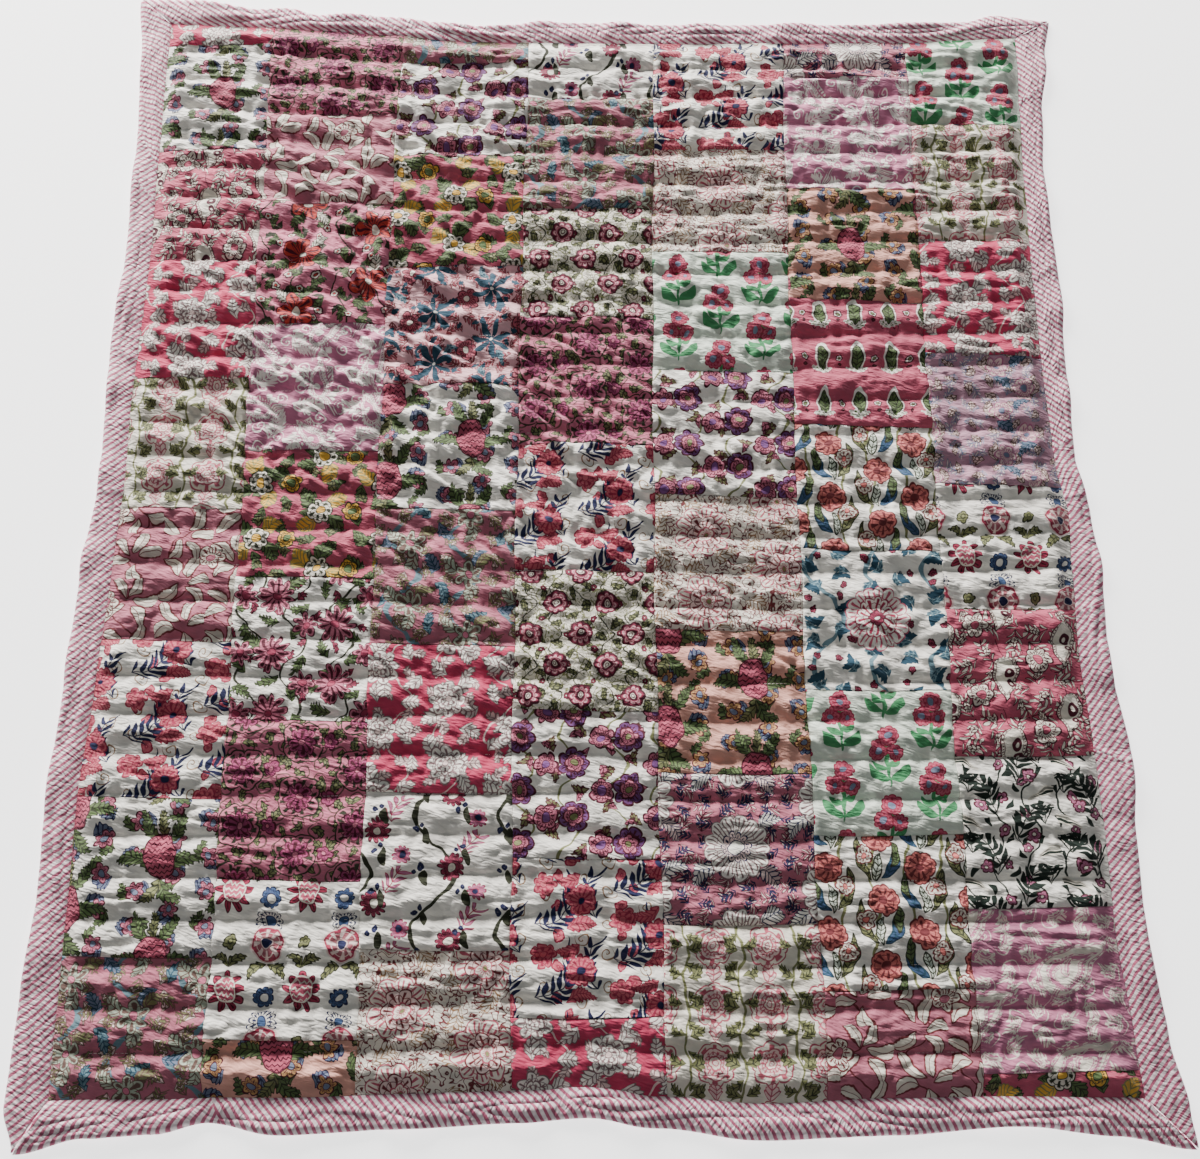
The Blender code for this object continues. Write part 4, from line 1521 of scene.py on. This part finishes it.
def dusty_leaves(cotton):
    cotton.vine("brown_red", 50, 13, 62, 1.8)
    cotton.repeat(50, 47, at=(4, 2), flip=1.0, spin=0.3)
    cotton.leaf((3, 0), 66, ("cream", "brown_red"), 31, 13, 4, bare=1, teeth=0.2, outline=1.6)
    cotton.leaf((-3, 2), 134, ("cream", "brown_red"), 27, 12, -4, bare=1, teeth=0.2, outline=1.6)
    cotton.leaf((5, -4), 4, ("cream", "brown_red"), 25, 11, 4, bare=1, teeth=0.2, outline=1.6)
    cotton.leaf((3, -7), -56, ("cream", "brown_red"), 24, 11, 4, bare=1, teeth=0.2, outline=1.6)
    cotton.leaf((-4, -6), 208, ("cream", "brown_red"), 26, 12, 4, bare=1, teeth=0.2, outline=1.6)
    cotton.repeat(100, 94, at=(29, 25))
    cotton.bloom((0, 0), 0, ("cream", "brown_red", "dusty"), 14, 5, 0.45, 0.3, outline=1.6)


def red_flower(cotton):
    cotton.vine("dark_olive", 44, 9, 74, 1.6)
    cotton.repeat(26, 25, at=(20, 18), spin=0.8)
    cotton.leaf((-8, -5), 30, ("leaf", "dark_olive"), 18, 9, 2, teeth=0.9)
    cotton.leaf((6, -7), 170, ("dark_olive", "dark_olive"), 14, 5, 2)
    cotton.bloom((-3, 8), 0, ("cream", "maroon", "red"), 4.5, 5, 0.3, 0.3)
    cotton.repeat(74, 66, at=(0, 0), spin=0.4)
    cotton.leaf((8, -4), -30, ("leaf", "dark_olive"), 25, 11, 4, teeth=1.0)
    cotton.leaf((-6, -6), 212, ("leaf", "dark_olive"), 25, 11, -4, teeth=1.0)
    cotton.leaf((12, 2), 56, ("cream", "dark_olive"), 27, 12, 5, veins=4, teeth=1.0)
    cotton.bloom((0, 2), 18, ("red", "maroon", "cream"), 21, 5, 0.6, 0.2, point=0.8)


def lilac_feather(cotton):
    cotton.repeat(20, 22, at=(8, 10), spin=1.0)
    cotton.scroll((0, 0), "white", 7, 4.8, 1.5)
    cotton.repeat(56, 60, at=(2, 0), spin=0.2)
    cotton.spray((-22, -20), 24, ("white", "white"), 42, -8, 4.4, 10, 2.6)
    cotton.spray((18, 22), 192, ("white", "white"), 38, 8, 4.4, 10, 2.6)
    cotton.paisley((0, 2), 34, ("white", "lilac", "lilac"), 40, 0.5, 3.4)
    cotton.paisley((0, 1), 34, ("lilac", "white", "white"), 30, 0.5, 2.0)


def green_yellow(cotton):
    cotton.repeat(25, 24, at=(13, 7), spin=0.9)
    cotton.leaf((-9, -4), 20, ("leaf", "dark_olive"), 20, 10, 3, teeth=0.8)
    cotton.leaf((6, 10), 220, ("olive", "dark_olive"), 12, 7, 2)
    cotton.repeat(62, 60, at=(0, 0), spin=0.5)
    cotton.leaf((5, 5), 24, ("mustard", "olive"), 23, 17, 4)
    cotton.leaf((-5, -5), 214, ("mustard", "olive"), 23, 16, 4)
    cotton.leaf((-4, 4), 130, ("leaf", "dark_olive"), 24, 14, 3, teeth=0.8)
    cotton.leaf((4, -4), -46, ("leaf", "dark_olive"), 24, 14, 3, teeth=0.8)
    cotton.bloom((0, 0), 0, ("cream", "dark_olive", "mustard"), 13, 7, 0.3, 0.34, rays=1)
    cotton.repeat(62, 60, at=(31, 0), spin=1.0)
    cotton.bloom((0, 0), 0, ("mustard", "dark_olive", "leaf"), 10, 6, 0.3, 0.4)


def starry_leaves(cotton):
    cotton.repeat(17, 17, at=(4, 6), spin=1.1)
    cotton.spray((-8, -4), 30, ("dull_rose", "brown_red"), 17, 3, 4, 5, 2)
    cotton.leaf((1, 1), 70, ("dark_teal", "dark_teal"), 9, 4, 1)
    cotton.repeat(60, 58, at=(34, 18), spin=0.6)
    cotton.bloom((0, 0), 12, ("dull_rose", "maroon", "cream"), 12, 6, 0.4, 0.3)
    cotton.repeat(60, 58, at=(0, 0), spin=0.8)
    cotton.leaf((9, 8), 34, ("dark_teal", "dark_teal"), 18, 6, 3)
    cotton.leaf((-9, -9), 220, ("dark_teal", "teal"), 18, 6, 3)
    cotton.bloom((0, 0), 0, ("dark_teal", "dark_teal", "white"), 21, 7, 0.9, 0.12, point=1.3)


def teal_branch(cotton):
    cotton.vine("teal", 58, 15, 76, 5.0)
    cotton.repeat(23, 21, at=(8, 4), spin=0.9)
    cotton.leaf((-8, -4), 30, ("pale_pink", "brown"), 18, 8, 2, veins=5)
    cotton.spray((4, -6), 110, ("olive", "brown"), 16, 2, 4, 5, 2)
    cotton.repeat(58, 62, at=(30, 26), spin=0.7)
    cotton.leaf((3, 3), 40, ("teal", "dark_teal"), 24, 10, 4, teeth=0.8)
    cotton.leaf((-3, -3), 216, ("blue_grey", "dark_teal"), 23, 10, -4, teeth=0.8)
    cotton.repeat(58, 62, at=(6, 0))
    cotton.leaf((7, 5), 30, ("olive", "brown"), 22, 11, 4)
    cotton.leaf((-7, 4), 140, ("sage", "brown"), 21, 12, 4)
    cotton.leaf((0, -6), 260, ("sage", "brown"), 22, 12, 4)
    cotton.bloom((0, 0), 90, ("sage", "brown", "pink"), 15, 6, 0.5, 0.24, rays=1, point=0.9)


def rose_paisley(cotton):
    cotton.repeat(24, 22, at=(6, 12), spin=0.6)
    cotton.spray((-10, -6), 36, ("cream", "maroon"), 24, 3, 6.4, 8, 3.2)
    cotton.leaf((5, 6), 200, ("cream", "maroon"), 13, 6, 2, veins=4)
    cotton.repeat(60, 70, at=(30, 14))
    cotton.bloom((0, 0), 0, ("cream", "maroon", "rose"), 13, 6, 0.36, 0.34, outline=1.6)
    cotton.repeat(60, 70, at=(0, 0))
    cotton.paisley((0, 0), 196, ("cream", "maroon", "rose"), 42, 0.34, 0.5)
    cotton.bloom((0, 1), 0, ("maroon", "maroon", "cream"), 4.6, 5, 0.0, 0.5)
    cotton.bloom((2, -9), 0, ("maroon", "maroon", "cream"), 3.0, 5, 0.0, 0.5)


def rose_booti(cotton):
    cotton.repeat(37, 52, at=(18.5, 0), drop=0.0)
    cotton.bloom((0, 2), 0, ("white", "maroon", "leaf"), 4.2, 5, 0.3, 0.4)
    cotton.bloom((0, -6), 0, ("white", "maroon", "leaf"), 1.8, 4, 0.3, 0.4)
    cotton.repeat(37, 52, at=(0, 0), drop=0.0)
    cotton.scroll((6, -14), "maroon", 4.2, 4, 0.9)
    cotton.scroll((-6, -14), "maroon", 4.2, 4, 0.9)
    cotton.leaf((0, -15), 90, ("white", "white"), 36, 15, 0, teeth=0)
    cotton.leaf((0, -11), 90, ("leaf", "dark_olive"), 27, 12, 0, teeth=0)
    cotton.leaf((0, -14), 30, ("leaf", "white"), 13, 5, 1)
    cotton.leaf((0, -14), 150, ("leaf", "white"), 13, 5, -1)


def hot_pink(cotton):
    cotton.vine("pale_pink", 50, 14, 70, 1.6)
    cotton.repeat(28, 27, at=(20, 20), spin=0.6)
    cotton.leaf((-7, -8), 60, ("white", "grey_brown"), 22, 11, 3, veins=5, teeth=0.9)
    cotton.leaf((-3, 0), -44, ("pale_pink", "grey_brown"), 17, 9, 2, veins=5, teeth=0.9)
    cotton.repeat(66, 62, at=(0, 0), spin=0.4)
    cotton.leaf((9, 6), 34, ("white", "grey_brown"), 23, 14, 4, veins=5, teeth=0.9)
    cotton.leaf((-9, -7), 222, ("white", "grey_brown"), 23, 14, 4, veins=5, teeth=0.9)
    cotton.bloom((0, 0), 0, ("white", "grey_brown", "pale_pink"), 18, 8, 0.34, 0.3, rays=2)
    cotton.bloom((0, 0), 20, ("white", "grey_brown", "pale_pink"), 10, 7, 0.3, 0.3, rays=1)


def chrysanthemum(cotton):
    cotton.repeat(20, 19, at=(6, 4), spin=1.0)
    cotton.spray((-8, -4), 24, ("pale_pink", "maroon"), 18, 3, 4.4, 6, 2)
    cotton.spray((4, -7), 120, ("navy", "navy"), 14, 2, 4, 4, 1.4)
    cotton.repeat(90, 86, at=(-4, 0))
    cotton.leaf((20, 15), 26, ("white", "navy"), 26, 14, 4, veins=4, teeth=1.2)
    cotton.leaf((-18, -18), 214, ("white", "navy"), 28, 14, -5, veins=4, teeth=1.2)
    cotton.leaf((16, -20), -40, ("pale_pink", "navy"), 28, 13, 5, veins=4, teeth=1.2)
    cotton.bloom((0, 0), 0, ("white", "grey_brown", "white"), 31, 13, 0.2, 0.3, rays=3)
    cotton.bloom((0, 0), 10, ("pale_pink", "navy", "white"), 14, 11, 0.4, 0.5, rays=2)


def grey_lilac(cotton):
    cotton.repeat(21, 20, at=(4, 8), spin=0.9)
    cotton.spray((-8, -4), 30, ("pale_pink", "blue_grey"), 18, 2, 4.2, 5, 1.9)
    cotton.leaf((7, -4), 150, ("pale_pink", "brown"), 14, 6, 2, veins=4)
    cotton.repeat(52, 50, at=(0, 0), flip=1.0)
    cotton.leaf((6, 0), -36, ("blue_grey", "dark_teal"), 23, 9, 4, teeth=0.8)
    cotton.leaf((4, 6), 100, ("pale_pink", "brown"), 18, 9, 3)
    cotton.bloom((13, 12), 0, ("pale_pink", "mauve", "blue_grey"), 11.5, 6, 0.4, 0.3)


def lilac_paisley(cotton):
    cotton.repeat(24, 22, at=(8, 12), spin=0.8)
    cotton.scroll((-3, 0), "cream", 8, 5.2, 1.1)
    cotton.spray((-3, -6), 40, ("cream", "cream"), 17, 3, 4.6, 6, 1.8)
    cotton.leaf((7, 8), 200, ("lilac", "cream"), 14, 6, 2, bare=1)
    cotton.repeat(92, 84, at=(10, 16))
    cotton.paisley((0, 0), -30, ("cream", "lilac", "cream"), 68, 0.42, 3)
    cotton.paisley((1, -2), -30, ("lilac", "cream", "cream"), 50, 0.42, 1)
    cotton.paisley((2, -4), -30, ("cream", "lilac", "cream"), 36, 0.42, 2)
    cotton.leaf((3, -7), 60, ("lilac", "cream"), 16, 7, 2, bare=1)


# %% Each cotton's ground colour and its print
COTTONS = [
    ("mint", mint_booti), ("white", purple_floral), ("white", coral_navy), ("white", crimson_vine),
    ("white", pomegranate), ("white", dahlia), ("white", coral_tulip), ("white", carnation),
    ("white", dark_leaves), ("white", white_pineapple), ("salmon", salmon_pineapple), ("ivory", toile),
    ("cream", trellis), ("cream", rosette_scroll), ("pink", plum_medallion), ("dusty", dusty_leaves),
    ("pink", red_flower), ("lilac", lilac_feather), ("rose", green_yellow),
    ("light_pink", starry_leaves), ("dusty", teal_branch), ("rose", rose_paisley), ("rose", rose_booti),
    ("hot", hot_pink), ("dusty", chrysanthemum), ("grey_lilac", grey_lilac), ("lilac", lilac_paisley),
]

# %% Print the cottons and dress the patches
materials = {}
for ground, print_it in COTTONS:
    cotton = Cotton(print_it.__name__, ground)
    print_it(cotton)
    materials[print_it.__name__] = cotton.finish()
for pad, name in pads:
    pad.data.materials.append(materials[name])
print("printed cottons:", len(materials))

# %% [markdown]
# ## Striped cotton, plain cotton and thread
#
# The border cotton has even rose stripes on white. The stripes follow the border's own UV map.
# The back is plain, with the same hand as the prints, and the thread is a plain twisted cotton.

# %% Striped and plain cottons
STRIPE_PITCH = 5.6
STRIPE_SHARE = 0.46


def striped_cotton():
    cotton = Cotton("striped_cotton", "stripe_ground")
    x, _ = cotton.nodes.parts(cotton.flat)
    away = abs((x / STRIPE_PITCH).cell())
    stripe = (STRIPE_SHARE * 0.5 - away) * STRIPE_PITCH
    cotton.colour = cotton.nodes.blend(cotton.colour, ink("stripe"), stripe.shown(1.8))
    return cotton.finish(bump=0.7)


def plain_cotton(name, colour):
    return Cotton(name, colour).finish()


def thread_cotton():
    material = bpy.data.materials.new("quilting_thread")
    material.use_nodes = True
    nodes = Nodes(material.node_tree)
    shader = material.node_tree.nodes["Principled BSDF"]
    place = nodes.add("ShaderNodeTexCoord")
    twist = nodes.add("ShaderNodeTexWave", {"Vector": Wire(nodes, place.outputs["Object"]), "Scale": 900.0})
    colour = nodes.blend(ink("pale_pink"), ink("white"), Wire(nodes, twist.outputs["Fac"]))
    nodes.join(colour, shader.inputs["Base Color"])
    shader.inputs["Roughness"].default_value = 0.7
    return material


border_cotton = striped_cotton()
for strip in strips:
    strip.data.materials.clear()
    strip.data.materials.append(border_cotton)
back.data.materials.append(plain_cotton("back_cotton", "back"))
stitches.data.materials.append(thread_cotton())

# %% [markdown]
# ## Floor, light and camera
#
# The photograph was taken from above the near end of the quilt, facing a window beyond its far
# end. So the light is a wide, low area lamp on the far side: it rakes across the channels and
# brings out every wrinkle. A pale world fills the shade.

# %% Floor
FLOOR_SIZE = 40.0
FLOOR_LEVEL = -0.0002
FLOOR_GLOW = 2.2


def make_floor():
    deselect_all()
    bpy.ops.mesh.primitive_grid_add(
        x_subdivisions=8, y_subdivisions=8, size=FLOOR_SIZE, location=(0, 0, FLOOR_LEVEL)
    )
    floor = bpy.context.active_object
    floor.name = "floor"
    material = bpy.data.materials.new("pale_floor")
    material.use_nodes = True
    shader = material.node_tree.nodes["Principled BSDF"]
    shader.inputs["Base Color"].default_value = (0.9, 0.9, 0.9, 1.0)
    shader.inputs["Roughness"].default_value = 0.9
    shader.inputs["Emission Color"].default_value = (1.0, 1.0, 1.0, 1.0)
    shader.inputs["Emission Strength"].default_value = FLOOR_GLOW
    floor.data.materials.append(material)


# %% Window light and pale room
WINDOW_AT = (-1.3, 3.0, 0.84)
WINDOW_SIZE = (2.8, 1.1)
WINDOW_POWER = 530.0
WINDOW_COLOUR = (1.0, 0.96, 0.935)
SKY_COLOUR = (0.96, 0.98, 1.0, 1.0)
SKY_STRENGTH = 0.22


def aim(thing, target):
    thing.rotation_euler = (Vector(target) - thing.location).to_track_quat("-Z", "Y").to_euler()


def make_light():
    lamp = bpy.data.lights.new("window_light", "AREA")
    lamp.shape = "RECTANGLE"
    lamp.size, lamp.size_y = WINDOW_SIZE
    lamp.energy = WINDOW_POWER
    lamp.color = WINDOW_COLOUR
    window = bpy.data.objects.new("window_light", lamp)
    bpy.context.scene.collection.objects.link(window)
    window.location = WINDOW_AT
    aim(window, (0.0, 0.0, 0.0))
    world = bpy.data.worlds.new("pale_room")
    bpy.context.scene.world = world
    world.use_nodes = True
    sky = world.node_tree.nodes["Background"]
    sky.inputs["Color"].default_value = SKY_COLOUR
    sky.inputs["Strength"].default_value = SKY_STRENGTH


# %% Camera
CAMERA_AT = (-0.0271, -0.4255, 1.1496)
CAMERA_PITCH = math.radians(73.461)
CAMERA_YAW = math.radians(4.443)
CAMERA_ROLL = math.radians(4.617)
CAMERA_LENS = 36.0
SENSOR_WIDTH = 36.0


def make_camera():
    """A camera from its place and its three angles, worked out from the corners of the inner seam."""
    data = bpy.data.cameras.new("camera")
    data.lens = CAMERA_LENS
    data.sensor_width = SENSOR_WIDTH
    data.sensor_fit = "HORIZONTAL"
    camera = bpy.data.objects.new("camera", data)
    bpy.context.scene.collection.objects.link(camera)
    level = math.cos(CAMERA_PITCH)
    forward = Vector((math.sin(CAMERA_YAW) * level, math.cos(CAMERA_YAW) * level, -math.sin(CAMERA_PITCH)))
    right = Vector((math.cos(CAMERA_YAW), -math.sin(CAMERA_YAW), 0.0))
    up = right.cross(forward)
    turned_right = right * math.cos(CAMERA_ROLL) + up * math.sin(CAMERA_ROLL)
    turned_up = up * math.cos(CAMERA_ROLL) - right * math.sin(CAMERA_ROLL)
    turn = Matrix((turned_right, turned_up, -forward)).transposed()
    camera.matrix_world = Matrix.Translation(CAMERA_AT) @ turn.to_4x4()
    bpy.context.scene.camera = camera


# %% Set the stage
make_floor()
make_light()
make_camera()
print("lights:", len(bpy.data.lights), "lens in mm:", CAMERA_LENS)
